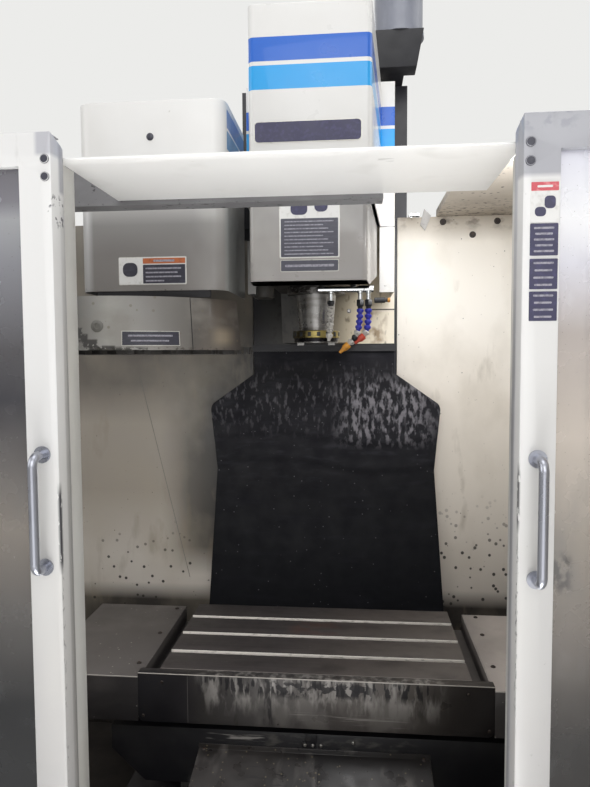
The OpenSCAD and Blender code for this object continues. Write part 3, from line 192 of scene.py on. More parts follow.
@dataclass(frozen=True)
class Finish:
    """One real finish: its base colour, how it shines, and the ramps, layers and bands that lie on it."""

    name: str
    colour: str
    roughness: float
    metallic: float = 0.0
    coat: float = 0.0
    transmission: float = 0.0
    ior: float = 1.5
    ramps: tuple[Ramp, ...] = ()
    layers: tuple[Layer, ...] = ()
    bands: tuple[Band, ...] = ()
    reliefs: tuple[Relief, ...] = ()
    rough_spread: float = 0.06
    rough_mm: float = 40.0

    def build(self) -> bpy.types.Material:
        """Makes the material once, and returns the same one after that."""
        made = bpy.data.materials.get(self.name)
        if made:
            return made
        material = bpy.data.materials.new(self.name)
        material.use_nodes = True
        tree = material.node_tree
        tree.nodes.clear()
        place = put(tree, "ShaderNodeTexCoord").outputs["Object"]
        colour = linear(self.colour)
        for ramp in self.ramps:
            over = self._ramp(tree, place, ramp)
            mask = self._faded(tree, place, ramp.strength, ramp.fades)
            colour = over if mask == 1.0 else self._mix(tree, colour, over, mask)
        for layer in self.layers:
            colour = self._mix(tree, colour, linear(layer.colour), self._mask(tree, place, layer))
        for band in self.bands:
            colour = self._mix(tree, colour, linear(band.colour), self._band(tree, place, band))
        shader = put(tree, "ShaderNodeBsdfPrincipled", {
            "Base Color": colour, "Metallic": self.metallic, "Coat Weight": self.coat,
            "Transmission Weight": self.transmission})
        if not self.metallic:
            shader.inputs["IOR"].default_value = self.ior
        self._shine(tree, place, shader)
        self._bump(tree, place, shader)
        put(tree, "ShaderNodeOutputMaterial", {"Surface": shader.outputs[0]})
        return material

    @staticmethod
    def _mix(tree: bpy.types.NodeTree, under: Paint, over: Paint, mask: bpy.types.NodeSocket) -> Paint:
        """Lays one colour over another by a mask."""
        return put(tree, "ShaderNodeMix", {0: mask, 6: under, 7: over}, data_type="RGBA").outputs[2]

    @staticmethod
    def _sized(tree: bpy.types.NodeTree, place: bpy.types.NodeSocket,
               size_mm: tuple[float, float, float]) -> bpy.types.NodeSocket:
        """Scales the object's coordinates so that one unit is the pattern's size."""
        return put(tree, "ShaderNodeMapping", {
            "Vector": place, "Scale": [1 / (size * MM) for size in size_mm]}).outputs[0]

    @staticmethod
    def _ramp(tree: bpy.types.NodeTree, place: bpy.types.NodeSocket, ramp: Ramp) -> bpy.types.NodeSocket:
        """Reads a ramp's colour at a place along its axis."""
        low, high = ramp.stops[0][0], ramp.stops[-1][0]
        split = put(tree, "ShaderNodeSeparateXYZ", {0: place})
        share = put(tree, "ShaderNodeMapRange", {
            "Value": split.outputs[ramp.axis.value], "From Min": low, "From Max": high})
        node = put(tree, "ShaderNodeValToRGB", {0: share.outputs[0]})
        elements = node.color_ramp.elements
        elements[0].color, elements[1].color = linear(ramp.stops[0][1]), linear(ramp.stops[-1][1])
        for where, code in ramp.stops[1:-1]:
            elements.new((where - low) / (high - low)).color = linear(code)
        return node.outputs[0]

    @staticmethod
    def _faded(tree: bpy.types.NodeTree, place: bpy.types.NodeSocket, mask: bpy.types.NodeSocket | float,
               fades: tuple[Fade, ...]) -> bpy.types.NodeSocket | float:
        """Multiplies a mask by its fades."""
        if not fades:
            return mask
        split = put(tree, "ShaderNodeSeparateXYZ", {0: place})
        for fade in fades:
            low, high = sorted((fade.full, fade.none))
            ramp = put(tree, "ShaderNodeMapRange", {
                "Value": split.outputs[fade.axis.value], "From Min": low, "From Max": high,
                "To Min": float(fade.full < fade.none), "To Max": float(fade.full > fade.none)})
            mask = put(tree, "ShaderNodeMath", {0: mask, 1: ramp.outputs[0]}, operation="MULTIPLY").outputs[0]
        return mask

    @classmethod
    def _mask(cls, tree: bpy.types.NodeTree, place: bpy.types.NodeSocket,
              layer: Layer) -> bpy.types.NodeSocket | float:
        """Draws a layer's pattern and keeps what passes its start."""
        if layer.pattern is Pattern.EVEN:
            return cls._faded(tree, place, layer.strength, layer.fades)
        where = cls._sized(tree, place, layer.size_mm)
        if layer.pattern is Pattern.CLOUD:
            value = put(tree, "ShaderNodeTexNoise", {"Vector": where, "Scale": 1.0, "Detail": layer.detail}).outputs[0]
        else:
            value = put(tree, "ShaderNodeTexVoronoi", {"Vector": where, "Scale": 1.0}).outputs["Distance"]
        ramp = put(tree, "ShaderNodeMapRange", {
            "Value": value, "From Min": layer.start, "From Max": layer.full, "To Min": 0.0, "To Max": layer.strength})
        return cls._faded(tree, place, ramp.outputs[0], layer.fades)

    @classmethod
    def _band(cls, tree: bpy.types.NodeTree, place: bpy.types.NodeSocket, band: Band) -> bpy.types.NodeSocket:
        """A mask that is 1 between the band's two places."""
        split = put(tree, "ShaderNodeSeparateXYZ", {0: place})
        inside = put(tree, "ShaderNodeMath", {
            0: split.outputs[band.axis.value], 1: (band.low + band.high) / 2, 2: (band.high - band.low) / 2},
            operation="COMPARE")
        return cls._faded(tree, place, inside.outputs[0], band.limits)

    def _shine(self, tree: bpy.types.NodeTree, place: bpy.types.NodeSocket, shader: bpy.types.Node) -> None:
        """Varies the roughness in soft patches, as handling and cleaning do."""
        if not self.rough_spread:
            shader.inputs["Roughness"].default_value = self.roughness
            return
        where = self._sized(tree, place, (self.rough_mm,) * 3)
        noise = put(tree, "ShaderNodeTexNoise", {"Vector": where, "Scale": 1.0, "Detail": 3.0})
        ramp = put(tree, "ShaderNodeMapRange", {
            "Value": noise.outputs[0], "From Min": 0.3, "From Max": 0.7,
            "To Min": max(self.roughness - self.rough_spread, 0.02), "To Max": self.roughness + self.rough_spread})
        tree.links.new(ramp.outputs[0], shader.inputs["Roughness"])

    def _bump(self, tree: bpy.types.NodeTree, place: bpy.types.NodeSocket, shader: bpy.types.Node) -> None:
        """Adds the reliefs one after the other."""
        normal = None
        for relief in self.reliefs:
            where = self._sized(tree, place, relief.size_mm)
            noise = put(tree, "ShaderNodeTexNoise", {"Vector": where, "Scale": 1.0, "Detail": relief.detail})
            bump = put(tree, "ShaderNodeBump", {
                "Height": noise.outputs[0], "Strength": 1.0, "Distance": relief.height_mm * MM})
            if normal:
                tree.links.new(normal, bump.inputs["Normal"])
            normal = bump.outputs[0]
        if normal:
            tree.links.new(normal, shader.inputs["Normal"])


X, Y, Z = Axis.X, Axis.Y, Axis.Z

# Powder-coated and wet-painted sheet has a faint orange peel of a few millimetres
ORANGE_PEEL = Relief((4, 4, 4), 0.02)
# Flying coolant leaves brown-grey pin points, here drawn a little larger than real so that they show
COOLANT_SPECKS = Layer("#6F6654", (16, 16, 16), 0.16, 0.10, 0.75, Pattern.CELLS)
FINE_SPECKS = Layer("#4A4338", (7, 7, 7), 0.10, 0.05, 0.6, Pattern.CELLS)

# Places where the doors' front skin ends at its inner fold, and how far that fold's paint is chipped
DOOR_EDGE_X = 0.313
DOOR_FRONT_Y = -0.826


def edge_chips(low: float, high: float, side: int, width: float, size_mm: float, start: float) -> Layer:
    """Paint knocked off a door's inner edge down to dark primer.

    Args:
        low: Lowest height of the worn length, in metres.
        high: Highest height.
        side: -1 for the left door, 1 for the right one.
        width: How far the chips reach from the edge.
        size_mm: Width of a chip.
        start: Pattern value where a chip begins; lower is denser.

    Returns:
        The layer of chips.
    """
    near, far = sorted((side * DOOR_EDGE_X * 0.9, side * (DOOR_EDGE_X + width * 0.5)))
    return Layer("#2B2B31", (size_mm, size_mm, size_mm * 2.6), start, start + 0.025, 0.95, detail=7,
                 fades=(*between(Z, low, high, 0.02), *between(X, near, far, width * 0.5),
                        *between(Y, DOOR_FRONT_Y - 0.003, DOOR_FRONT_Y + 0.003, 0.004)))


# Sprayed enamel on steel sheet, off-white, with handling grey and chipped edges: reads soft white, low gloss
DOOR_ENAMEL = Finish(
    "door_enamel", "#E0DFDD", 0.38, coat=0.15,
    ramps=(Ramp(Z, ((0.64, "#9F9D9B"), (0.90, "#ABA9A8"), (1.10, "#B6B4B3"), (1.35, "#C7C6C5"), (1.6, "#D8D7D6"), (1.92, "#E2E1E0"))),),
    layers=(Layer("#C9C6BF", (260, 260, 420), 0.48, 0.78, 0.6),
            Layer("#ADAAA6", (30, 30, 110), 0.66, 0.76, 0.4, detail=8),
            Layer("#8E8B86", (9, 9, 14), 0.73, 0.78, 0.6, detail=6),
            # Painted shade: grey-violet at the top of each door's inner edge, clouded on the right door
            tint("#9495A2", 0.6, *between(Z, 1.893, 1.93, 0.006), *between(X, -0.335, -0.30, 0.006)),
            Layer("#9FA0A8", (16, 16, 12), 0.50, 0.60, 0.7, detail=8,
                  fades=(Fade(Z, 1.905, 1.893), *between(X, 0.30, 0.372, 0.02))),
            # Painted shade on the doors' inner side faces: grey-violet on each, and darker low down, where it is
            # painted shade and grime
            tint("#8F909A", 0.75, Fade(X, -DOOR_EDGE_X - 0.0004, -DOOR_EDGE_X - 0.0012), Fade(Z, 1.845, 1.838)),
            tint("#B3B4C0", 0.7, Fade(X, DOOR_EDGE_X + 0.0004, DOOR_EDGE_X + 0.0012), Fade(X, 0.0, -0.1)),
            tint("#7D7A77", 0.5, *between(X, -DOOR_EDGE_X - 0.0004, DOOR_EDGE_X + 0.0004, 0.0006), Fade(Z, 1.6, 1.9)),
            Layer("#3A3A40", (6, 6, 9), 0.58, 0.62, 0.9, detail=6,
                  fades=(*between(Z, 1.80, 1.83, 0.01), *between(X, -0.318, -0.30, 0.006))),
            edge_chips(1.320, 1.415, -1, 0.0075, 5, 0.40), edge_chips(1.085, 1.300, -1, 0.004, 3.5, 0.56),
            edge_chips(1.392, 1.450, 1, 0.0060, 5, 0.44), edge_chips(1.140, 1.350, 1, 0.005, 3.5, 0.55),
            edge_chips(0.70, 1.05, 1, 0.004, 4, 0.60), edge_chips(0.70, 1.05, -1, 0.004, 4, 0.60)),
    bands=(Band(Z, 1.9205, 1.922, "#C9C9CC"),),
    reliefs=(ORANGE_PEEL,))

# The same enamel on the fixed front and side panels
PANEL_ENAMEL = Finish(
    "panel_enamel", "#DDDCD8", 0.40, coat=0.12,
    layers=(Layer("#CDC8BC", (420, 420, 600), 0.45, 0.75, 0.6),
            Layer("#9C978C", (20, 20, 60), 0.68, 0.78, 0.4, detail=8),
            tint("#A9A499", 0.5, Fade(Z, 0.30, 0.42))),
    reliefs=(ORANGE_PEEL,))

# The chip pan and the sill's inside, dark with wet chips and coolant
PAN_ENAMEL = Finish(
    "pan_enamel", "#34302D", 0.42,
    layers=(Layer("#211E1D", (120, 120, 90), 0.45, 0.68, 0.8, detail=6), Layer("#5C554C", (9, 9, 9), 0.66, 0.74, 0.5, detail=6)),
    reliefs=(ORANGE_PEEL,))

# Whiter enamel on the sheet over the opening, with a few soft spots and one scratch
TRAY_ENAMEL = Finish(
    "tray_enamel", "#F2F1EF", 0.40, coat=0.1,
    layers=(Layer("#D9D8D4", (90, 90, 90), 0.58, 0.74, 0.5, detail=2),
            Layer("#B9B8B4", (24, 24, 24), 0.74, 0.80, 0.5, detail=3),
            Layer("#A5A4A0", (60, 3, 60), 0.60, 0.66, 0.7, detail=1, fades=(*between(X, 0.135, 0.155, 0.003),
                                                                            *between(Y, -0.748, -0.728, 0.003)))),
    reliefs=(ORANGE_PEEL,))

# Painted angle behind that sheet: mid grey, spotted dark by coolant
ANGLE_ENAMEL = Finish(
    "angle_enamel", "#6F6E70", 0.5,
    layers=(Layer("#858587", (120, 120, 60), 0.45, 0.7, 0.7), Layer("#2F2D2E", (13, 13, 9), 0.63, 0.68, 0.85, detail=5)),
    reliefs=(ORANGE_PEEL,))

# Enamel inside the work space: yellow-white with a coolant film and chips' marks, and painted shade on the left wall
# and low down
CREAM_ENAMEL = Finish(
    "cream_enamel", "#D8D1BF", 0.46,
    # Darker low down, and painted shade under the roof at the top
    ramps=(Ramp(Z, ((0.80, "#BEB6AD"), (0.95, "#CAC2B8"), (1.20, "#DDD5CA"), (1.45, "#E9E1D6"), (1.75, "#F3EEE6"),
                    (1.98, "#EEE8DE"), (2.06, "#A99F92"))),
           # Painted shade of the tool changer over the left wall, darker higher up
           Ramp(Z, ((0.78, "#C9C2BA"), (0.92, "#C4BDB4"), (1.15, "#9D958B"), (1.38, "#A0988E"), (1.52, "#6A645D"), (1.70, "#5C5751"), (2.06, "#7A756D")),
                (Fade(X, -0.05, 0.05),)),
           # Painted shadow on the left wall beside the apron and the column
           Ramp(X, ((-0.55, "#7B756D"), (-0.42, "#4A4641"), (-0.36, "#33302E")),
                (*between(X, -0.47, -0.05, 0.10), Fade(Z, 1.62, 1.75), Fade(Z, 0.95, 0.85))),
           # Painted shade below the table's level
           Ramp(Z, ((0.30, "#25221F"), (0.74, "#322E2B")), (Fade(Z, 0.76, 0.82),))),
    layers=(Layer("#A79D8C", (240, 240, 340), 0.46, 0.72, 0.45, detail=6),
            Layer("#857A68", (60, 60, 180), 0.60, 0.74, 0.4, detail=8),
            Layer("#5B5147", (40, 40, 26), 0.52, 0.66, 0.7, detail=8,
                  fades=(Fade(Z, 2.045, 2.01), Fade(X, 0.30, 0.2))),
            Layer("#4B453F", (38, 38, 46), 0.055, 0.030, 0.8, Pattern.CELLS),
            Layer("#2A2724", (24, 24, 26), 0.25, 0.19, 0.95, Pattern.CELLS,
                  fades=(Fade(Z, 0.95, 1.16), Fade(X, 0.2, 0.0))),
            Layer("#2A2724", (34, 34, 34), 0.17, 0.13, 0.95, Pattern.CELLS,
                  fades=(Fade(Z, 0.90, 1.06), Fade(X, -0.2, 0.0))),
            Layer("#6B635A", (21, 21, 27), 0.07, 0.03, 0.5, Pattern.CELLS),
            tint("#D9D8D4", 1.0, Fade(Y, 0.466, 0.463))),
    reliefs=(ORANGE_PEEL,))

# The roof sheet's underside: beige-brown film, dark clusters towards its rear edge
ROOF_ENAMEL = Finish(
    "roof_enamel", "#CDC4B8", 0.5,
    layers=(Layer("#B0A699", (160, 160, 100), 0.45, 0.7, 0.7, detail=5),
            Layer("#4A4239", (18, 10, 18), 0.56, 0.62, 0.9, detail=7, fades=(Fade(Y, 0.40, 0.20),)),
            Layer("#5A5147", (26, 26, 26), 0.20, 0.14, 0.8, Pattern.CELLS),
            tint("#DCDAD4", 1.0, Fade(Z, 2.0840, 2.0830))),
    reliefs=(ORANGE_PEEL,))

BLUE_STRIPE = "#165EBF"
CYAN_STRIPE = "#109ADE"
# Heights of the painted bands on the head's covers and on the changer's flank, in metres
HEAD_BLUE = (2.272, 2.325)
HEAD_CYAN = (2.210, 2.263)
CHANGER_BLUE = (2.137, 2.179)
CHANGER_CYAN = (2.089, 2.131)
CHANGER_FLANK_X = -0.1930

# Gloss enamel on the head's covers with two painted bands; the lower cover carries painted shade under the tray and a
# painted highlight towards its right flank
HEAD_ENAMEL = Finish(
    "head_enamel", "#DCDBD9", 0.32, coat=0.25,
    # Painted shade of the tray on the lower cover, darkest just under the joint
    ramps=(Ramp(Z, ((1.80, "#9A9693"), (1.87, "#9A9693"), (1.92, "#817E7C"), (1.972, "#6E6B69"), (1.984, "#DCDBD9")),
                (Fade(Y, 0.17, 0.20),)),
           # Painted highlight lightening the lower cover towards its right flank
           Ramp(X, ((0.147, "#A3A09D"), (0.162, "#F2F0ED")), (Fade(Z, 1.95, 1.98), Fade(X, 0.155, 0.143), Fade(Y, 0.17, 0.20)))),
    layers=(Layer("#D3D1CC", (300, 300, 420), 0.48, 0.78, 0.6),
            Layer("#8F8B82", (10, 10, 14), 0.74, 0.79, 0.45, detail=6),
            Layer("#5C5854", (8, 8, 10), 0.70, 0.74, 0.7, detail=6, fades=(Fade(Z, 1.84, 1.90),))),
    bands=(Band(Z, *HEAD_BLUE, BLUE_STRIPE), Band(Z, *HEAD_CYAN, CYAN_STRIPE), Band(Z, 1.9835, 1.9862, "#5E5D5C")),
    reliefs=(ORANGE_PEEL,))

# Enamel on the tool changer's cover: painted shade below the tray, with painted light on its right flank and its left
# end there; its bands run only along the right flank
CHANGER_ENAMEL = Finish(
    "changer_enamel", "#EAE9E7", 0.36, coat=0.2,
    # Painted shade under the tray, darkening the cover below it
    ramps=(Ramp(Z, ((1.764, "#8B8784"), (1.85, "#837F7D"), (1.915, "#868482"), (1.965, "#B0AEAC"), (2.02, "#EAE9E7"))),),
    layers=(Layer("#CFCCC6", (300, 300, 380), 0.48, 0.76, 0.4),
            # Painted light: grey-blue lighter on the right flank and lighter at the left end, below the tray
            tint("#AEB3B2", 0.6, Fade(X, -0.1935, -0.200), Fade(Z, 1.93, 2.02)),
            tint("#D9D9DA", 0.5, Fade(X, -0.520, -0.505), Fade(Z, 1.95, 2.0)),
            Layer("#4F4C48", (12, 12, 10), 0.64, 0.68, 0.85, detail=6, fades=(Fade(Z, 1.766, 1.775),)),
            Layer("#8F8878", (12, 12, 18), 0.72, 0.78, 0.5, detail=6)),
    bands=tuple(Band(Z, *span, colour, (Fade(X, CHANGER_FLANK_X + MM / 4, CHANGER_FLANK_X - MM / 4),))
                for span, colour in ((CHANGER_BLUE, "#3A63A8"), (CHANGER_CYAN, "#2F80B8"))),
    reliefs=(ORANGE_PEEL,))

# Enamel on the ring guard: grey-beige film, painted shade and highlight round its cone, and bare dark metal where
# coolant ran
GUARD_ENAMEL = Finish(
    "guard_enamel", "#A5A39E", 0.42, coat=0.1,
    # Painted shade and highlight round the cone: pale in the middle, dark towards its ends
    ramps=(Ramp(X, ((-0.62, "#4E4C4A"), (-0.53, "#5C5A58"), (-0.44, "#ACAAA5"), (-0.36, "#8B8884"), (-0.275, "#6F6B66"),
                    (-0.265, "#5A5550"), (-0.22, "#6B6259"), (-0.18, "#494340"))),),
    layers=(Layer("#8C877F", (90, 90, 60), 0.52, 0.70, 0.5, detail=6),
            *(Layer("#3F3D3C", (12, 12, 12), 0.38, 0.42, 0.95, detail=5,
                    fades=(*between(X, *span, 0.004), *between(Z, *rise, 0.004)))
              for span, rise in (((-0.509, -0.499), (1.657, 1.674)), ((-0.503, -0.486), (1.646, 1.660)),
                                 ((-0.494, -0.464), (1.634, 1.648)), ((-0.478, -0.425), (1.622, 1.634)))),
            Layer("#26241F", (16, 16, 8), 0.44, 0.48, 0.95, detail=5,
                  fades=(*between(X, -0.47, -0.37, 0.02), Fade(Z, 1.629, 1.636))),
            Layer("#4B463F", (10, 10, 8), 0.55, 0.60, 0.9, detail=5, fades=(Fade(Z, 1.630, 1.634),)),
            tint("#C9B89A", 0.35, *between(X, -0.215, -0.205, 0.02), *between(Z, 1.650, 1.665, 0.02)),
            Layer("#6F6654", (26, 26, 26), 0.14, 0.10, 0.5, Pattern.CELLS)),
    reliefs=(ORANGE_PEEL,))

# Two-part machine paint on iron castings: near black with a blue cast, slightly rough from the sand mould
CASTING_PAINT = Finish(
    "casting_paint", "#1B1A22", 0.45, coat=0.1,
    layers=(Layer("#2E2C2E", (80, 80, 80), 0.5, 0.7, 0.7), Layer("#5B544A", (12, 12, 12), 0.68, 0.75, 0.45, detail=6)),
    reliefs=(Relief((9, 9, 9), 0.12), Relief((2, 2, 2), 0.03)))

# The saddle's own black paint with chips and grey residue along its front edge
SADDLE_PAINT = Finish(
    "saddle_paint", "#0C0B10", 0.5,
    layers=(Layer("#1B1A1C", (60, 60, 60), 0.5, 0.7, 0.7),
            Layer("#8D8985", (70, 70, 5), 0.50, 0.60, 0.85, detail=6,
                  fades=(*between(X, -0.25, -0.13, 0.015), *between(Z, 0.676, 0.688, 0.004), Fade(Y, -0.19, -0.17))),
            Layer("#4A4744", (40, 40, 16), 0.50, 0.66, 0.7, detail=6,
                  fades=(*between(X, -0.12, 0.22, 0.04), *between(Z, 0.655, 0.690, 0.01)))),
    reliefs=(Relief((9, 9, 9), 0.12),))

# The head's own casting: darker towards the left with dark streaks, cream paint at the right with rust-brown weeping
HEAD_CASTING_PAINT = Finish(
    "head_casting_paint", "#E0D6C2", 0.5,
    ramps=(Ramp(X, ((-0.23, "#1E1D22"), (-0.15, "#3B3936"), (-0.02, "#45413C"), (0.05, "#968C7A"), (0.11, "#D2C6AE"),
                    (0.19, "#ECE3D2"))),),
    layers=(Layer("#8A6E4A", (40, 40, 60), 0.44, 0.58, 0.8, detail=7,
                  fades=(*between(X, 0.13, 0.19, 0.02), *between(Z, 1.66, 1.745, 0.02))),
            Layer("#5C513F", (16, 16, 40), 0.60, 0.70, 0.7, detail=8, fades=(Fade(X, 0.04, 0.0),)),
            Layer("#2B2826", (22, 22, 30), 0.52, 0.62, 0.8, detail=8, fades=(Fade(X, -0.02, 0.04),)), FINE_SPECKS),
    bands=(Band(Z, 1.757, 1.761, "#4A4138", (Fade(X, 0.14, 0.135),)),),
    reliefs=(Relief((8, 8, 8), 0.12),))

# Satin near-black sheet with a violet cast
DARK_ENAMEL = Finish(
    "dark_enamel", "#0A0A12", 0.55,
    layers=(Layer("#22232B", (120, 120, 120), 0.45, 0.75, 0.6), Layer("#57534C", (8, 8, 8), 0.72, 0.78, 0.4)),
    reliefs=(ORANGE_PEEL,))

# Motor housings, cast aluminium under thin blue-grey paint, with the dark joint of the upper motor's cover
MOTOR_PAINT = Finish(
    "motor_paint", "#858893", 0.38, coat=0.15,
    layers=(Layer("#6C6F7A", (60, 60, 140), 0.45, 0.7, 0.6), Layer("#4D4F57", (8, 8, 8), 0.72, 0.78, 0.4)),
    reliefs=(Relief((3, 3, 3), 0.03),))
# The spindle motor and the changer's gear case under thicker dark paint
DARK_MOTOR_PAINT = Finish(
    "dark_motor_paint", "#34363E", 0.42, coat=0.1,
    layers=(Layer("#4A4C54", (60, 60, 140), 0.45, 0.7, 0.6),), reliefs=(Relief((3, 3, 3), 0.03),))

# Ground cast iron of the table, brown-grey with oil, with painted highlights on its slots' upper walls and its front
# edge
SLOT_YS = (-0.110, 0.0, 0.110)
SLOT_HALF = 0.0082
TABLE_IRON = Finish(
    "stained_table_iron", "#332F2F", 0.52,
    ramps=(Ramp(X, ((-0.375, "#2F2B2B"), (-0.10, "#332F2F"), (0.10, "#453F3C"), (0.28, "#514B47"))),),
    layers=(Layer("#4C4645", (500, 3, 500), 0.42, 0.72, 0.5, detail=8),
            Layer("#262221", (90, 50, 60), 0.54, 0.70, 0.5, detail=6),
            Layer("#4A352F", (50, 30, 50), 0.40, 0.55, 0.6, detail=5,
                  fades=(*between(X, -0.06, 0.04, 0.03), *between(Y, 0.03, 0.08, 0.03))),
            Layer("#7D7670", (14, 5, 14), 0.68, 0.75, 0.4, detail=6)),
    # Painted highlights: on the slots' upper walls, and along the top of the table's front edge
    bands=tuple(Band(Y, y - SLOT_HALF, y + SLOT_HALF, "#EAE6E0", (Fade(Z, 0.8375, 0.8365),)) for y in SLOT_YS)
    + (Band(Z, 0.8492, 0.8502, "#6D6763", (Fade(Y, -0.2018, -0.2012),)),),
    reliefs=(Relief((300, 1.5, 300), 0.02), Relief((3, 3, 3), 0.02)), rough_spread=0.06)
# Strips on the slots' upper far walls that carry a painted highlight
SLOT_HIGHLIGHT = Finish("slot_highlight", "#DAD5CE", 0.38, layers=(Layer("#8F8A84", (24, 6, 6), 0.56, 0.68, 0.7),))

# Painted-over stainless sheet of the wings and troughs: smooth brown-grey with a few spots, with painted light towards
# the right wing and a painted highlight along the front edge
WING_STEEL = Finish(
    "wing_steel", "#454140", 0.42, metallic=0.35,
    # Painted light: much lighter towards the right wing
    ramps=(Ramp(X, ((-0.69, "#625E5C"), (0.30, "#66615F"), (0.50, "#B5ADA8"), (0.69, "#BFB7B2"))),),
    layers=(tint("#1B191C", 0.85, Fade(Y, -0.2275, -0.2255)),
            Layer("#595452", (200, 200, 80), 0.45, 0.72, 0.5, detail=5),
            Layer("#A7A29B", (26, 26, 26), 0.10, 0.06, 0.8, Pattern.CELLS),
            tint("#1F1D1E", 0.8, Fade(Z, 0.812, 0.826), *between(X, -0.418, 0.418, 0.003))),
    # Painted highlight along the wings' front top edge
    bands=(Band(Z, 0.8375, 0.8405, "#8E8984", (Fade(Y, -0.2275, -0.2268),)),),
    reliefs=(Relief((400, 2, 2), 0.012),), rough_spread=0.1, rough_mm=90.0)

# Stainless front guard: dark at its ends, washed pale in the middle, with black drips from its top edge and a painted
# highlight along its top lip
WASHED_STEEL = Finish(
    "washed_steel", "#4B4745", 0.40, metallic=0.4,
    ramps=(Ramp(X, ((-0.42, "#1C1B1F"), (-0.31, "#242225"), (-0.255, "#3A3736"), (-0.13, "#4F4C4B"), (0.08, "#57524F"),
                    (0.24, "#504B47"), (0.33, "#312D2B"), (0.42, "#262323"))),),
    layers=(Layer("#9C9894", (17, 17, 60), 0.46, 0.62, 0.75, detail=7,
                  fades=(*between(X, -0.235, 0.27, 0.05), *between(Z, 0.795, 0.850, 0.045))),
            Layer("#827E7A", (60, 60, 90), 0.46, 0.62, 0.5, detail=5,
                  fades=(*between(X, -0.12, 0.22, 0.06), *between(Z, 0.735, 0.80, 0.03))),
            Layer("#171519", (11, 11, 42), 0.50, 0.56, 0.92, detail=6,
                  fades=(*between(X, -0.26, 0.27, 0.02), *between(Z, 0.815, 0.842, 0.018))),
            Layer("#1A181B", (26, 26, 20), 0.48, 0.53, 0.9, detail=6,
                  fades=(*between(X, -0.09, 0.13, 0.02), *between(Z, 0.812, 0.838, 0.010))),
            Layer("#252226", (9, 9, 60), 0.50, 0.60, 0.8, detail=5,
                  fades=(*between(X, -0.112, -0.098, 0.006), *between(Z, 0.735, 0.83, 0.01))),
            Layer("#9A9691", (140, 140, 4), 0.56, 0.62, 0.6, detail=5,
                  fades=(*between(X, -0.03, 0.20, 0.03), *between(Z, 0.742, 0.765, 0.006))),
            Layer("#2B2826", (30, 30, 60), 0.64, 0.74, 0.5, detail=7), FINE_SPECKS),
    # The first band is a painted highlight along the guard's top lip; the second is a dark seam
    bands=(Band(Z, 0.8480, 0.8510, "#A39E98", (Fade(Y, -0.2283, -0.2277),)), Band(X, -0.300, -0.2985, "#5A5654", (Fade(Z, 0.83, 0.86),))),
    reliefs=(Relief((400, 2, 2), 0.012),), rough_spread=0.14, rough_mm=70.0)

# Galvanised sheet of the sloping cover, brown-grey under coolant film, with scratches from chips
COVER_STEEL = Finish(
    "cover_steel", "#3B3838", 0.34, metallic=0.2,
    ramps=(Ramp(X, ((-0.28, "#332F2E"), (-0.10, "#2E2B2A"), (0.02, "#1F1D1E"), (0.28, "#2A2727"))),),
    layers=(Layer("#1F1D1C", (150, 100, 80), 0.45, 0.7, 0.7, detail=5),
            Layer("#7A7572", (60, 200, 60), 0.56, 0.7, 0.4, detail=6),
            Layer("#201E1F", (60, 9, 60), 0.62, 0.67, 0.9, detail=4,
                  fades=(*between(X, -0.14, -0.06, 0.02), *between(Y, -0.33, -0.25, 0.02))), COOLANT_SPECKS),
    reliefs=(Relief((3, 3, 3), 0.02),), rough_spread=0.12)

# Folded steel strip of the way cover's clamp, oiled black
CLAMP_STEEL = Finish(
    "clamp_steel", "#17161B", 0.42, layers=(Layer("#333136", (50, 50, 8), 0.5, 0.7, 0.6, detail=5),))

# Turned and ground steel of the spindle's nose: soft grey, with a rough dark flange above
GROUND_STEEL = Finish(
    "ground_steel", "#9B9997", 0.30, metallic=0.85,
    layers=(Layer("#6F6B67", (60, 60, 14), 0.45, 0.7, 0.6), Layer("#4A4541", (12, 12, 12), 0.66, 0.74, 0.5),
            Layer("#2E2928", (14, 14, 6), 0.40, 0.52, 0.9, detail=6, fades=(Fade(Z, 1.770, 1.767),))),
    reliefs=(Relief((40, 40, 0.8), 0.006),), rough_spread=0.1)
# The rotating nose: blued face with a bright lower rim
SPINDLE_STEEL = Finish(
    "spindle_steel", "#8D8B89", 0.25, metallic=0.9,
    layers=(Layer("#57524E", (30, 30, 10), 0.5, 0.7, 0.6),),
    bands=(Band(Z, 1.6475, 1.662, "#211F22"),), reliefs=(Relief((40, 40, 0.8), 0.006),), rough_spread=0.08)
# The tool drum: oiled and dusty, and painted darker as the shade under its guard
DRUM_STEEL = Finish(
    "drum_steel", "#4A4846", 0.45, metallic=0.5,
    layers=(Layer("#2E2C2A", (60, 60, 30), 0.45, 0.65, 0.7), Layer("#6F6B66", (9, 9, 9), 0.66, 0.74, 0.5)), rough_spread=0.1)
# Machined steel inside, with a thin film of way oil
OILED_STEEL = Finish(
    "oiled_steel", "#9C9A96", 0.3, metallic=1.0,
    layers=(Layer("#6A655D", (40, 40, 40), 0.5, 0.7, 0.6),), rough_spread=0.08)
# Blackened bolts, browned by coolant
BOLT_STEEL = Finish(
    "bolt_steel", "#2B2523", 0.5, metallic=0.4, layers=(Layer("#4B3A2E", (6, 6, 6), 0.5, 0.66, 0.7),))
# Cast brass, rubbed, with painted shadow over its left side
BRASS = Finish(
    "brass", "#A3935A", 0.32, metallic=0.8,
    layers=(Layer("#6B5F3C", (9, 9, 9), 0.5, 0.66, 0.7), tint("#1E1A16", 0.85, Fade(X, -0.026, -0.016))), rough_mm=8.0)

# Anodised aluminium bar of the handles, with hand wear
BAR_ALUMINIUM = Finish(
    "bar_aluminium", "#A3A5AE", 0.28, metallic=0.85,
    layers=(Layer("#858892", (20, 20, 60), 0.5, 0.72, 0.6), Layer("#5E6066", (6, 6, 10), 0.70, 0.76, 0.5)),
    reliefs=(Relief((2, 2, 60), 0.004),))

# Chromed tube
CHROME = Finish("chrome", "#D6D8DA", 0.10, metallic=1.0, rough_spread=0.05, rough_mm=12.0,
                layers=(Layer("#8D8A86", (10, 10, 10), 0.62, 0.72, 0.6),))

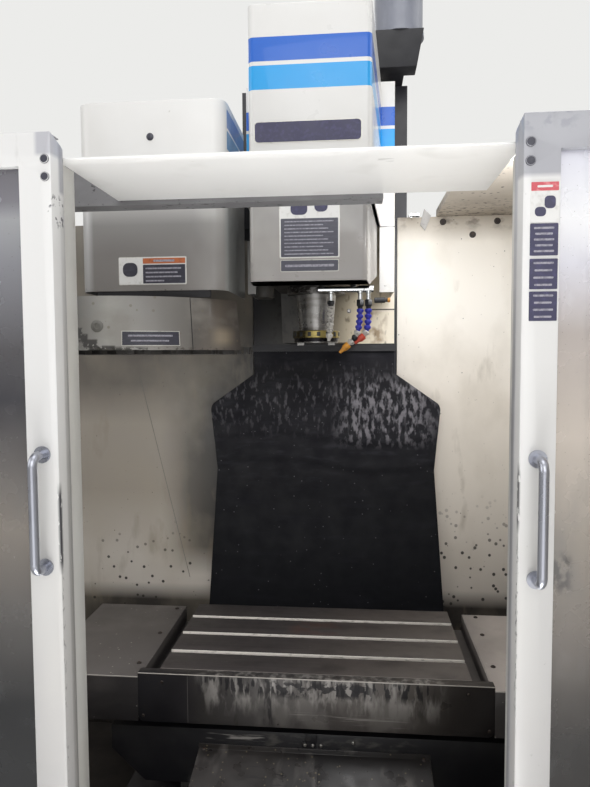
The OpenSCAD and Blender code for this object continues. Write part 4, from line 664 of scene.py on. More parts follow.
# Nitrile rubber sheet: black with a blue cast, chalky rub marks high up and soft dust lower down
APRON_RUBBER = Finish(
    "apron_rubber", "#1A1A21", 0.72, ior=1.36,
    ramps=(Ramp(Z, ((0.70, "#04050B"), (1.05, "#05060C"), (1.20, "#09090F"), (1.30, "#0F0F15"), (1.42, "#17161C"), (1.56, "#17161B"),
                    (1.636, "#16161E"))),),
    layers=(Layer("#6D6B70", (13, 13, 30), 0.53, 0.64, 0.5, detail=12,
                  fades=(Fade(Z, 1.44, 1.33), Fade(Z, 1.50, 1.60))),
            Layer("#8B888E", (15, 15, 34), 0.49, 0.60, 0.75, detail=13,
                  fades=(*between(X, 0.10, 0.30, 0.08), *between(Z, 1.36, 1.50, 0.06))),
            Layer("#2B2B31", (70, 70, 20), 0.52, 0.70, 0.5, detail=7, fades=(Fade(Z, 1.30, 1.10),)),
            Layer("#15151C", (200, 200, 30), 0.55, 0.7, 0.5, detail=6, fades=(Fade(Z, 1.10, 1.2),)),
            Layer("#77757A", (26, 26, 26), 0.08, 0.05, 0.6, Pattern.CELLS)),
    reliefs=(Relief((260, 260, 60), 1.2), Relief((4, 4, 4), 0.05)), rough_spread=0.12, rough_mm=60.0)

# Moulded rubber of belts and seals
SEAL_RUBBER = Finish("seal_rubber", "#121116", 0.6, reliefs=(Relief((3, 3, 3), 0.03),))

# Polycarbonate panes with painted reflection in soft level bands and a light coolant mist: the left one darker, the
# right one whiter
POLYCARBONATE_MIST_AND_REFLECTION = Finish(
    "polycarbonate_mist_and_reflection", "#8B8F94", 0.24, transmission=0.12, ior=1.585,
    # Painted reflection in level bands; the second ramp is the right pane's
    ramps=(Ramp(Z, ((1.10, "#17171A"), (1.24, "#5B5856"), (1.36, "#827B74"), (1.45, "#696563"), (1.55, "#3B3A3F"),
                    (1.62, "#4B494C"), (1.74, "#828288"), (1.805, "#9FA0A3"), (1.83, "#7C7A81"), (1.875, "#6B696F"))),
           Ramp(Z, ((1.08, "#2B2827"), (1.15, "#4A4541"), (1.24, "#77706A"), (1.36, "#989087"), (1.50, "#C9BFB5"),
                    (1.64, "#B8AFAA"), (1.73, "#D7D6DF"), (1.79, "#F1F1F3"), (1.875, "#DADAE6")),
                (Fade(X, 0.05, -0.05),))),
    # Painted reflection: bright streaks high on the right pane
    layers=(Layer("#E8E8EC", (24, 24, 90), 0.56, 0.68, 0.5, detail=6,
                  fades=(*between(Z, 1.70, 1.78, 0.03), Fade(X, 0.1, 0.0))),
            Layer("#3C3838", (12, 12, 16), 0.42, 0.56, 0.75, detail=6,
                  fades=(*between(X, 0.368, 0.384, 0.010), *between(Z, 1.300, 1.335, 0.016))),
            Layer("#6E6F70", (60, 60, 180), 0.58, 0.74, 0.3, detail=8), FINE_SPECKS), rough_spread=0.1)

# Glass-filled nylon of the pendant
PENDANT_PLASTIC = Finish(
    "pendant_plastic", "#CFC9BA", 0.45,
    layers=(Layer("#B8B09E", (120, 120, 160), 0.45, 0.72, 0.6), Layer("#8E8674", (10, 10, 10), 0.70, 0.76, 0.4)),
    reliefs=(Relief((1.5, 1.5, 1.5), 0.02),))

# Screen glass, off, with a few finger marks
SCREEN_GLASS = Finish("screen_glass", "#0C1013", 0.12, coat=0.6, rough_spread=0.06, rough_mm=18.0,
                      layers=(Layer("#1D2327", (60, 60, 40), 0.5, 0.7, 0.6),))
# Printed polyester film of the keypad
KEYPAD_FILM = Finish("keypad_film", "#3E434A", 0.4, layers=(Layer("#4B5057", (40, 40, 40), 0.5, 0.7, 0.5),))
KEY_WHITE = Finish("key_film_white", "#D5D6D2", 0.4, layers=(Layer("#B5B3AB", (14, 14, 14), 0.5, 0.7, 0.6),))
KEY_BLUE = Finish("key_film_blue", "#3C6FA8", 0.4, layers=(Layer("#2F5A8C", (14, 14, 14), 0.5, 0.7, 0.6),))
# Injection-moulded caps
BUTTON_RED = Finish("button_red", "#C21F1A", 0.28, coat=0.3, layers=(Layer("#A01A17", (8, 8, 8), 0.5, 0.7, 0.5),))
BUTTON_GREEN = Finish("button_green", "#2F9A49", 0.28, coat=0.3, layers=(Layer("#277F3D", (8, 8, 8), 0.5, 0.7, 0.5),))
BEZEL_YELLOW = Finish("bezel_yellow", "#E0B62A", 0.4, layers=(Layer("#B8932A", (10, 10, 10), 0.55, 0.7, 0.5),))
WHEEL_PLASTIC = Finish("wheel_plastic", "#202226", 0.35, layers=(Layer("#33363B", (7, 7, 7), 0.5, 0.7, 0.5),))
# Push-in nylon plugs that close the unused holes
HOLE_PLUG = Finish("hole_plug", "#33333E", 0.4, layers=(Layer("#4A4A55", (6, 6, 6), 0.5, 0.7, 0.5),))
GREY_PLUG = Finish("grey_plug", "#76746F", 0.5, layers=(Layer("#5E5C58", (9, 9, 9), 0.5, 0.7, 0.5),))

# Acetal beads of the coolant hoses, each with a little dried coolant
BEAD_BLUE = Finish("acetal_blue", "#2A2C96", 0.35, layers=(Layer("#6B6C9E", (5, 5, 5), 0.62, 0.7, 0.7),), rough_mm=8.0)
BEAD_BLACK = Finish("acetal_black", "#17181D", 0.4, layers=(Layer("#3A3B40", (5, 5, 5), 0.6, 0.7, 0.6),), rough_mm=8.0)
BEAD_CLEAR = Finish("acetal_natural", "#B9B5AF", 0.35, layers=(Layer("#5D5B58", (7, 7, 7), 0.5, 0.62, 0.8),), rough_mm=8.0)
NOZZLE_ORANGE = Finish("nozzle_orange", "#C98A2E", 0.4, layers=(Layer("#8E6428", (6, 6, 6), 0.55, 0.66, 0.6),))
NOZZLE_RED = Finish("nozzle_red", "#B5402C", 0.4, layers=(Layer("#85352A", (6, 6, 6), 0.55, 0.66, 0.6),))

# Screen-printed aluminium plates, left bare of words
PLATE_DARK = Finish("plate_dark", "#2F2E3A", 0.42, layers=(Layer("#454452", (14, 14, 6), 0.5, 0.7, 0.5),))
PLATE_SLATE = Finish("plate_slate", "#4A4A55", 0.42, layers=(Layer("#5A5A66", (14, 14, 6), 0.5, 0.7, 0.5),))
PLATE_WHITE = Finish("plate_white", "#DDDCDA", 0.42, layers=(Layer("#BBB8B2", (10, 10, 10), 0.55, 0.7, 0.5),))
PLATE_GREY = Finish("plate_grey", "#A9A6A3", 0.42, layers=(Layer("#8B8885", (10, 10, 10), 0.55, 0.7, 0.5),))
PLATE_RED = Finish("plate_red", "#C4505A", 0.42, layers=(Layer("#D98A8E", (8, 8, 5), 0.52, 0.62, 0.7),))
PLATE_ORANGE = Finish("plate_orange", "#B4643A", 0.42, layers=(Layer("#8A4A30", (8, 8, 5), 0.52, 0.62, 0.6),))
PLATE_RIM = Finish("plate_rim", "#C9C7C0", 0.35, metallic=0.5, layers=(Layer("#8E8B84", (8, 8, 8), 0.55, 0.7, 0.6),))
PRINT_PALE = Finish("print_pale", "#9C9AA4", 0.5, layers=(Layer("#6E6C78", (4, 4, 4), 0.45, 0.6, 0.7),))
PRINT_NAVY = Finish("print_navy", "#33314E", 0.45, layers=(Layer("#45436A", (9, 9, 9), 0.5, 0.7, 0.5),))


def object_of(mesh_name: str, bm: bmesh.types.BMesh, finish: Finish, smooth_deg: float = 30.0,
              flat_above: float = math.inf) -> bpy.types.Object:
    """Turns a bmesh into a shown object with one finish.

    Args:
        mesh_name: The piece's name.
        bm: Its shape, in metres in the row frame. It is freed here.
        finish: What it is made of.
        smooth_deg: Edges flatter than this are shaded smooth.
        flat_above: Faces larger than this, in square metres, are plane sheet and stay flat beside rounded edges.

    Returns:
        The linked object, which sits at the origin.
    """
    mesh = bpy.data.meshes.new(mesh_name)
    bm.to_mesh(mesh)
    bm.free()
    mesh.polygons.foreach_set("use_smooth", [face.area <= flat_above for face in mesh.polygons])
    mesh.set_sharp_from_angle(angle=math.radians(smooth_deg))
    mesh.materials.append(finish.build())
    obj = bpy.data.objects.new(mesh_name, mesh)
    bpy.context.scene.collection.objects.link(obj)
    return obj


def settle(obj: bpy.types.Object, body: str) -> bpy.types.Object:
    """Puts a finished piece on its body."""
    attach(obj, body)
    log.info("piece %s rides on %s", obj.name, body)
    return obj


def add_box(bm: bmesh.types.BMesh, low: Vector, high: Vector, edge: float = 0.0) -> list[bmesh.types.BMVert]:
    """Adds a box between two corners, with rounded edges where edge is above 0."""
    low, high = Vector(low), Vector(high)
    made = bmesh.ops.create_cube(bm, size=1.0)["verts"]
    bmesh.ops.scale(bm, vec=high - low, verts=made)
    bmesh.ops.translate(bm, vec=(low + high) / 2, verts=made)
    if edge:
        edges = list({e for v in made for e in v.link_edges})
        made = bmesh.ops.bevel(bm, geom=edges, offset=edge, segments=2, profile=0.5, affect="EDGES", material=-1)["verts"]
    return made


def add_turned(bm: bmesh.types.BMesh, profile: list[tuple[float, float]], turn: Matrix, steps: int = 24) -> None:
    """Adds a turned shape: a profile of radius and height is spun, capped where it starts or ends off the axis.

    Args:
        bm: The bmesh to add to.
        profile: Radius and height pairs from the bottom to the top.
        turn: Places the shape, whose axis is +Z.
        steps: Sides of the round.
    """
    for (r0, z0), (r1, z1) in zip(profile, profile[1:]):
        made = bmesh.ops.create_cone(bm, cap_ends=False, segments=steps, radius1=max(r0, 1e-6),
                                     radius2=max(r1, 1e-6), depth=max(abs(z1 - z0), 1e-7))["verts"]
        flip = -1 if z1 < z0 else 1
        bmesh.ops.scale(bm, vec=(1, 1, flip), verts=made)
        bmesh.ops.translate(bm, vec=(0, 0, (z0 + z1) / 2), verts=made)
        bmesh.ops.transform(bm, matrix=turn, verts=made)
    for r, z in (profile[0], profile[-1]):
        if r > 1e-5:
            made = bmesh.ops.create_circle(bm, cap_ends=True, segments=steps, radius=r)["verts"]
            bmesh.ops.translate(bm, vec=(0, 0, z), verts=made)
            bmesh.ops.transform(bm, matrix=turn, verts=made)


def closed(bm: bmesh.types.BMesh) -> bmesh.types.BMesh:
    """Joins doubled points and turns all faces outwards."""
    bmesh.ops.remove_doubles(bm, verts=bm.verts, dist=1e-6)
    bmesh.ops.recalc_face_normals(bm, faces=bm.faces)
    return bm


def at(place: Vector, towards: Vector = Vector((0, 0, 1))) -> Matrix:
    """A matrix that puts +Z along a direction at a place."""
    return Matrix.Translation(place) @ Vector(towards).to_track_quat("Z", "Y").to_matrix().to_4x4()


@dataclass
class Dressing:
    """Gives CAD nodes their finishes, and rounds the edges of those that are seen close by."""

    rounded_mm: dict[str, float] = field(default_factory=dict)

    def finish(self, body: str, finish: Finish, *nodes: str) -> None:
        """Gives nodes of one body the same finish.

        Args:
            body: The CAD body that carries them.
            finish: Their finish.
            *nodes: Names of the CAD nodes.
        """
        for node in nodes:
            edge = self.rounded_mm.get(node)
            if edge:
                self._rounded(node, body, finish, edge * MM)
            else:
                self._painted(node, finish)

    @staticmethod
    def _painted(node: str, finish: Finish) -> None:
        """Puts the finish on the CAD node's own mesh."""
        mesh = bpy.data.objects[node].data
        for i in range(max(len(mesh.materials), 1)):
            if i < len(mesh.materials):
                mesh.materials[i] = finish.build()
            else:
                mesh.materials.append(finish.build())
        log.info("node %s is %s", node, finish.name)

    @staticmethod
    def _rounded(node: str, body: str, finish: Finish, edge: float) -> None:
        """Shows a copy of the node whose sharp edges are rounded, in place of the node."""
        source = bpy.data.objects[node]
        bm = bmesh.new()
        bm.from_mesh(source.data)
        bmesh.ops.remove_doubles(bm, verts=bm.verts, dist=1e-6)
        bmesh.ops.dissolve_limit(bm, angle_limit=math.radians(1), verts=bm.verts, edges=bm.edges)
        sharp = [e for e in bm.edges if e.is_manifold and e.calc_face_angle() > math.radians(30)]
        bmesh.ops.bevel(bm, geom=sharp, offset=edge, offset_type="OFFSET", segments=2, profile=0.5,
                        affect="EDGES", material=-1, clamp_overlap=True)
        obj = object_of(node + "_dressed", bm, finish, 50.0, 0.0025)
        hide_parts(node)
        settle(obj, body)


@dataclass
class Sign:
    """A bare plate on an upright face: corners in X and Z, the face's Y, a light rim, and strips for rows of print.

    rows hold the height of a strip's middle, its left end and its right end, as shares of the plate from the
    lower left. facing is -1 for a face towards the front and 1 for one towards the back.
    """

    name: str
    low: tuple[float, float]
    high: tuple[float, float]
    face_y: float
    finish: Finish
    slot: str = "motor_dark"
    thick: float = 0.0012
    corner: float = 0.003
    rim: float = 0.0
    rows: tuple[tuple[float, float, float], ...] = ()
    row_high: float = 0.0034
    row_finish: Finish = PRINT_PALE
    facing: int = -1

    def build(self, body: str) -> bpy.types.Object:
        """Makes the plate, with its rim under it and its strips on it, riding on a body."""
        if self.rim:
            self._slab("rim", self._grown(self.rim), 0.0, self.thick * 0.6, self.corner + self.rim, PLATE_RIM, body)
        plate = self._slab("", (self.low, self.high), 0.0, self.thick, self.corner, self.finish, body)
        if self.rows:
            bm = bmesh.new()
            wide, tall = self.high[0] - self.low[0], self.high[1] - self.low[1]
            for up, start, end in self.rows:
                z = self.low[1] + up * tall
                self._add(bm, ((self.low[0] + start * wide, z - self.row_high / 2),
                               (self.low[0] + end * wide, z + self.row_high / 2)), self.thick * 0.8,
                          self.thick + 0.0002, self.row_high * 0.35)
            settle(object_of(self.name + "_rows", bm, self.row_finish), body)
        return plate

    def _grown(self, by: float) -> tuple[tuple[float, float], tuple[float, float]]:
        """The plate's corners, moved outwards."""
        return (self.low[0] - by, self.low[1] - by), (self.high[0] + by, self.high[1] + by)

    def _slab(self, word: str, corners: tuple[tuple[float, float], tuple[float, float]], near: float, far: float,
              corner: float, finish: Finish, body: str) -> bpy.types.Object:
        """Makes one flat piece of the sign between two distances from the face."""
        bm = bmesh.new()
        self._add(bm, corners, near, far, corner)
        return settle(object_of(self.name + (f"_{word}" if word else ""), bm, finish), body)

    def _add(self, bm: bmesh.types.BMesh, corners: tuple[tuple[float, float], tuple[float, float]], near: float,
             far: float, corner: float) -> None:
        """Adds a flat box with round corners to a bmesh."""
        (x0, z0), (x1, z1) = corners
        y0, y1 = sorted((self.face_y + self.facing * near, self.face_y + self.facing * far))
        made = add_box(bm, (x0, y0, z0), (x1, y1, z1))
        along_y = [e for e in {e for v in made for e in v.link_edges}
                   if abs((e.verts[0].co - e.verts[1].co).normalized().y) > 0.9]
        bmesh.ops.bevel(bm, geom=along_y, offset=corner, segments=4, profile=0.5, affect="EDGES", material=-1)


@dataclass
class ScrewSet:
    """Screws or bolts on one face, as one piece."""

    name: str
    places: list[tuple[float, float, float]]
    towards: tuple[float, float, float] = (0, -1, 0)
    radius: float = 0.0055
    height: float = 0.0028
    finish: Finish = BOLT_STEEL
    hexagon: bool = False

    def build(self, body: str, slot: str = "steel") -> bpy.types.Object:
        """Makes each head as a low dome with a recess, or as a hexagon on a washer."""
        bm = bmesh.new()
        r, h = self.radius, self.height
        dome = [(r, 0), (r, h * 0.4), (r * 0.85, h * 0.8), (r * 0.45, h), (r * 0.42, h * 0.5), (0, h * 0.45)]
        for place in self.places:
            turn = at(Vector(place), Vector(self.towards))
            if self.hexagon:
                add_turned(bm, [(r * 1.25, 0), (r * 1.25, h * 0.2), (r, h * 0.22)], turn, 20)
                add_turned(bm, [(r, h * 0.2), (r, h * 0.85), (r * 0.86, h)], turn, 6)
            else:
                add_turned(bm, dome, turn, 16)
        return settle(object_of(self.name, closed(bm), self.finish, 40.0), body)


@dataclass
class Turned:
    """One turned piece: its profile of radius and height, its place and the direction of its axis."""

    name: str
    place: tuple[float, float, float]
    profile: list[tuple[float, float]]
    finish: Finish
    towards: tuple[float, float, float] = (0, -1, 0)
    steps: int = 28

    def build(self, body: str, slot: str) -> bpy.types.Object:
        """Makes the piece and puts it on its body."""
        bm = bmesh.new()
        add_turned(bm, self.profile, at(Vector(self.place), Vector(self.towards)), self.steps)
        return settle(object_of(self.name, closed(bm), self.finish, 35.0), body)


@dataclass
class Blocks:
    """A set of rounded blocks that are one piece, such as louvres, keys or a folded bracket's legs."""

    name: str
    corners: list[tuple[tuple[float, float, float], tuple[float, float, float]]]
    finish: Finish
    edge: float = 0.0008

    def build(self, body: str, slot: str) -> bpy.types.Object:
        """Makes all the blocks and puts them on their body."""
        bm = bmesh.new()
        for low, high in self.corners:
            add_box(bm, Vector(low), Vector(high), self.edge)
        return settle(object_of(self.name, bm, self.finish), body)


@dataclass
class RingTrim:
    """Trim that lies on the changer's ring guard, whose sheet leans in towards the top."""

    centre: tuple[float, float] = (-0.475, 0.0)
    foot: tuple[float, float] = (0.3300, 1.626)
    head: tuple[float, float] = (0.3170, 1.746)

    def radius(self, z: float) -> float:
        """The guard's outer radius at a height."""
        share = (z - self.foot[1]) / (self.head[1] - self.foot[1])
        return self.foot[0] + share * (self.head[0] - self.foot[0])

    def patch(self, name: str, degrees: tuple[float, float], heights: tuple[float, float], proud: tuple[float, float],
              finish: Finish) -> bpy.types.Object:
        """Spins a thin plate round the guard's axis.

        Args:
            name: The piece's name.
            degrees: Where it starts and ends; -90 faces the front.
            heights: Its lower and upper edge.
            proud: How far its inner and outer side stand off the guard's sheet.
            finish: Its finish.

        Returns:
            The piece, which rides with the changer.
        """
        bm = bmesh.new()
        start = math.radians(degrees[0])
        section = [bm.verts.new((self.centre[0] + (self.radius(z) + off) * math.cos(start),
                                 self.centre[1] + (self.radius(z) + off) * math.sin(start), z))
                   for z, off in ((heights[0], proud[0]), (heights[0], proud[1]),
                                  (heights[1], proud[1]), (heights[1], proud[0]))]
        loop = [bm.edges.new((section[i], section[(i + 1) % 4])) for i in range(4)]
        sweep = math.radians(degrees[1] - degrees[0])
        bmesh.ops.spin(bm, geom=section + loop, cent=(*self.centre, 0), axis=(0, 0, 1), angle=sweep,
                       steps=max(2, round(abs(degrees[1] - degrees[0]) / 2)), use_merge=False)
        bmesh.ops.holes_fill(bm, edges=bm.edges, sides=4)
        return settle(object_of(name, closed(bm), finish), "changer")

    def place(self, degrees: float, z: float, off: float = 0.0) -> tuple[Vector, Vector]:
        """A point on the sheet and the way out of it."""
        a = math.radians(degrees)
        out = Vector((math.cos(a), math.sin(a), 0))
        return Vector((*self.centre, z)) + out * (self.radius(z) + off), out


@dataclass
class CoolantHose:
    """One segmented hose: a chromed stub, a fitting, beads that lean towards the spindle, and a nozzle."""

    name: str
    top: tuple[float, float, float]
    links: tuple[tuple[float, Finish], ...]
    nozzle: Finish
    fitting: Finish = BEAD_BLACK
    bead_r: float = 0.0088
    pitch: float = 0.0135
    stub: float = 0.020
    fitting_h: float = 0.024
    nozzle_l: float = 0.030
    nozzle_lean: float = 0.0

    def build(self) -> list[bpy.types.Object]:
        """Makes the stub, the fitting, the nozzle, and one piece for the beads of each colour."""
        place, down, r = Vector(self.top), Vector((0, 0, -1)), self.bead_r
        parts: dict[str, tuple[bmesh.types.BMesh, Finish]] = {
            "stub": (bmesh.new(), CHROME), "fitting": (bmesh.new(), self.fitting), "nozzle": (bmesh.new(), self.nozzle)}
        add_turned(parts["stub"][0], [(r * 0.80, 0), (r * 0.80, 0.004), (r * 0.58, 0.005), (r * 0.58, self.stub)],
                   at(place, down))
        place = place + down * self.stub
        add_turned(parts["fitting"][0], [(r * 0.9, 0), (r * 1.12, 0.002), (r * 1.12, self.fitting_h * 0.6),
                                         (r * 0.8, self.fitting_h * 0.7), (r * 0.75, self.fitting_h)],
                   at(place, down), 6)
        place = place + down * (self.fitting_h * 0.9)
        for lean, finish in self.links:
            along = self._leaning(lean)
            beads = parts.setdefault(finish.name, (bmesh.new(), finish))[0]
            add_turned(beads, [(r * 0.62, 0), (r * 0.95, 0.0022), (r, 0.0050), (r * 0.9, 0.0078),
                               (r * 0.6, 0.0104), (r * 0.55, self.pitch + 0.001)], at(place, along))
            place = place + along * self.pitch
        add_turned(parts["nozzle"][0], [(r * 0.9, 0), (r, 0.003), (r * 0.92, self.nozzle_l * 0.45),
                                        (r * 0.5, self.nozzle_l * 0.7), (r * 0.42, self.nozzle_l),
                                        (r * 0.30, self.nozzle_l), (r * 0.30, self.nozzle_l * 0.8)],
                   at(place, self._leaning(self.nozzle_lean)))
        return [settle(object_of(f"{self.name}_{word}", closed(bm), finish, 40.0), "head")
                for word, (bm, finish) in parts.items()]

    @staticmethod
    def _leaning(degrees: float) -> Vector:
        """The way down, tipped towards the spindle by an angle."""
        a = math.radians(degrees)
        return Vector((-math.sin(a), 0, -math.cos(a)))


@dataclass
class Apron:
    """The rubber way cover: one thick sheet with soft horizontal waves, fixed at its foot and to the head."""

    wave_mm: float = 3.6
    waves: tuple[tuple[float, float, float], ...] = ((1.352, 0.016, 1.0), (1.325, 0.011, -0.7), (1.262, 0.016, 0.8),
                                                     (1.236, 0.012, -0.5), (1.480, 0.030, 0.4), (1.090, 0.045, -0.5),
                                                     (0.930, 0.050, 0.5))
    shoulder_z: float = 1.415

    def build(self) -> bpy.types.Object:
        """Cuts the node's sheet into a grid, presses the waves into it and curls its free shoulders."""
        bm = bmesh.new()
        bm.from_mesh(bpy.data.objects["rubber_apron"].data)
        bmesh.ops.remove_doubles(bm, verts=bm.verts, dist=1e-6)
        bmesh.ops.dissolve_limit(bm, angle_limit=math.radians(1), verts=bm.verts, edges=bm.edges)
        low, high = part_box("rubber_apron")
        for axis, count in ((Vector((0, 0, 1)), 110), (Vector((1, 0, 0)), 44)):
            span = (high - low).dot(axis)
            for i in range(1, count):
                point = low + axis * (span * i / count)
                bmesh.ops.bisect_plane(bm, geom=bm.verts[:] + bm.edges[:] + bm.faces[:], plane_co=point, plane_no=axis)
        for vert in bm.verts:
            rise = sum(h * math.exp(-(((vert.co.z - z) + 0.02 * math.sin(vert.co.x * 9)) / w) ** 2)
                       for z, w, h in self.waves)
            inner = 1 - min(abs(vert.co.x) / 0.5, 1) ** 2
            curl = math.exp(-((vert.co.z - self.shoulder_z) / 0.07) ** 2) * max(abs(vert.co.x) - 0.30, 0) * 0.09
            vert.co.y -= self.wave_mm * MM * rise * inner + curl
        obj = object_of("rubber_apron_sheet", bm, APRON_RUBBER, 60.0)
        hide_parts("rubber_apron")
        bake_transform(obj)
        log.info("piece %s bends between frame and head", obj.name)
        return obj


@dataclass(frozen=True)
class Lamp:
    """A soft area lamp that the camera doesn't see: its place, what it faces, its width, strength and spread."""

    name: str
    place: tuple[float, float, float]
    aim: tuple[float, float, float]
    size: float
    watts: float
    spread_deg: float = 180.0

    def hang(self) -> None:
        """Adds the lamp to the scene."""
        data = bpy.data.lights.new(self.name, "AREA")
        data.size = self.size
        data.energy = self.watts
        data.spread = math.radians(self.spread_deg)
        lamp = bpy.data.objects.new(self.name, data)
        bpy.context.scene.collection.objects.link(lamp)
        lamp.matrix_world = at(Vector(self.place), Vector(self.place) - Vector(self.aim))
        lamp.visible_camera = False


@dataclass
class Room:
    """The pale floor, the soft lights and the photograph's camera."""

    eye: tuple[float, float, float] = (0.0992, -1.6854, 1.6113)
    yaw_deg: float = 5.30
    pitch_deg: float = -3.37
    roll_deg: float = -0.315
    lens_mm: float = 29.17
    floor_half: float = 30.0
    lamps: tuple[Lamp, ...] = (
        Lamp("front_panel", (0.6, -4.2, 3.6), (0, 0, 1.5), 3.2, 78),
        Lamp("left_panel", (-4.5, -2.0, 3.4), (0, 0, 1.3), 3.0, 50),
        Lamp("right_panel", (4.6, 0.5, 3.6), (0, 0, 1.3), 3.0, 45),
        Lamp("top_panel", (0.3, -0.6, 5.0), (0.1, 0.0, 1.2), 2.6, 58),
        Lamp("rear_panel", (-2.0, 5.0, 3.6), (0, 0.5, 1.2), 3.0, 60),
        Lamp("low_bounce", (0.0, -3.2, 0.35), (0, -0.6, 1.9), 2.4, 24),
        Lamp("floor_bounce", (0.0, -1.15, 0.10), (0, -0.67, 1.89), 0.8, 3.2, 50),
        Lamp("right_work_lamp", (0.40, -0.20, 2.0), (0.47, 0.46, 1.6), 0.3, 3.2),
        Lamp("left_work_lamp", (-0.62, -0.45, 1.35), (-0.66, 0.46, 0.80), 0.5, 2.6))

    def camera(self) -> bpy.types.Object:
        """Makes the camera: turned left, tipped down, and rolled a little."""
        yaw, pitch, roll = (math.radians(a) for a in (self.yaw_deg, self.pitch_deg, self.roll_deg))
        look = Vector((-math.sin(yaw) * math.cos(pitch), math.cos(yaw) * math.cos(pitch), math.sin(pitch)))
        right = Vector((math.cos(yaw), math.sin(yaw), 0))
        up = right.cross(look)
        right, up = math.cos(roll) * right + math.sin(roll) * up, math.cos(roll) * up - math.sin(roll) * right
        data = bpy.data.cameras.new("photo_camera")
        data.lens = self.lens_mm
        data.sensor_width = 36.0
        data.clip_end = 100.0
        camera = bpy.data.objects.new("photo_camera", data)
        bpy.context.scene.collection.objects.link(camera)
        camera.matrix_world = Matrix((right, up, -look)).transposed().to_4x4()
        camera.location = self.eye
        bpy.context.scene.camera = camera
        return camera

    def floor(self) -> None:
        """Lays a plain pale floor."""
        bm = bmesh.new()
        bmesh.ops.create_grid(bm, x_segments=1, y_segments=1, size=self.floor_half)
        material = bpy.data.materials.new("pale_floor")
        material.use_nodes = True
        shader = material.node_tree.nodes["Principled BSDF"]
        shader.inputs["Base Color"].default_value = linear("#DCDCDA")
        shader.inputs["Roughness"].default_value = 0.9
        mesh = bpy.data.meshes.new("floor")
        bm.to_mesh(mesh)
        bm.free()
        mesh.materials.append(material)
        obj = bpy.data.objects.new("floor", mesh)
        bpy.context.scene.collection.objects.link(obj)

    def lights(self) -> None:
        """Hangs the lamps and sets a pale sky, whose colour shows to the camera and in shiny and clear pieces."""
        for lamp in self.lamps:
            lamp.hang()
        world = bpy.data.worlds.new("pale_sky")
        bpy.context.scene.world = world
        world.use_nodes = True
        tree = world.node_tree
        tree.nodes.clear()
        path = put(tree, "ShaderNodeLightPath")
        mask = path.outputs["Is Camera Ray"]
        for other in ("Is Glossy Ray", "Is Transmission Ray"):
            mask = put(tree, "ShaderNodeMath", {0: mask, 1: path.outputs[other]}, operation="MAXIMUM").outputs[0]
        soft = put(tree, "ShaderNodeBackground", {"Color": (1.0, 1.0, 1.0, 1.0), "Strength": 0.36})
        seen = put(tree, "ShaderNodeBackground", {"Color": linear("#ECECEA"), "Strength": 1.0})
        both = put(tree, "ShaderNodeMixShader", {0: mask, 1: soft.outputs[0], 2: seen.outputs[0]})
        put(tree, "ShaderNodeOutputWorld", {"Surface": both.outputs[0]})


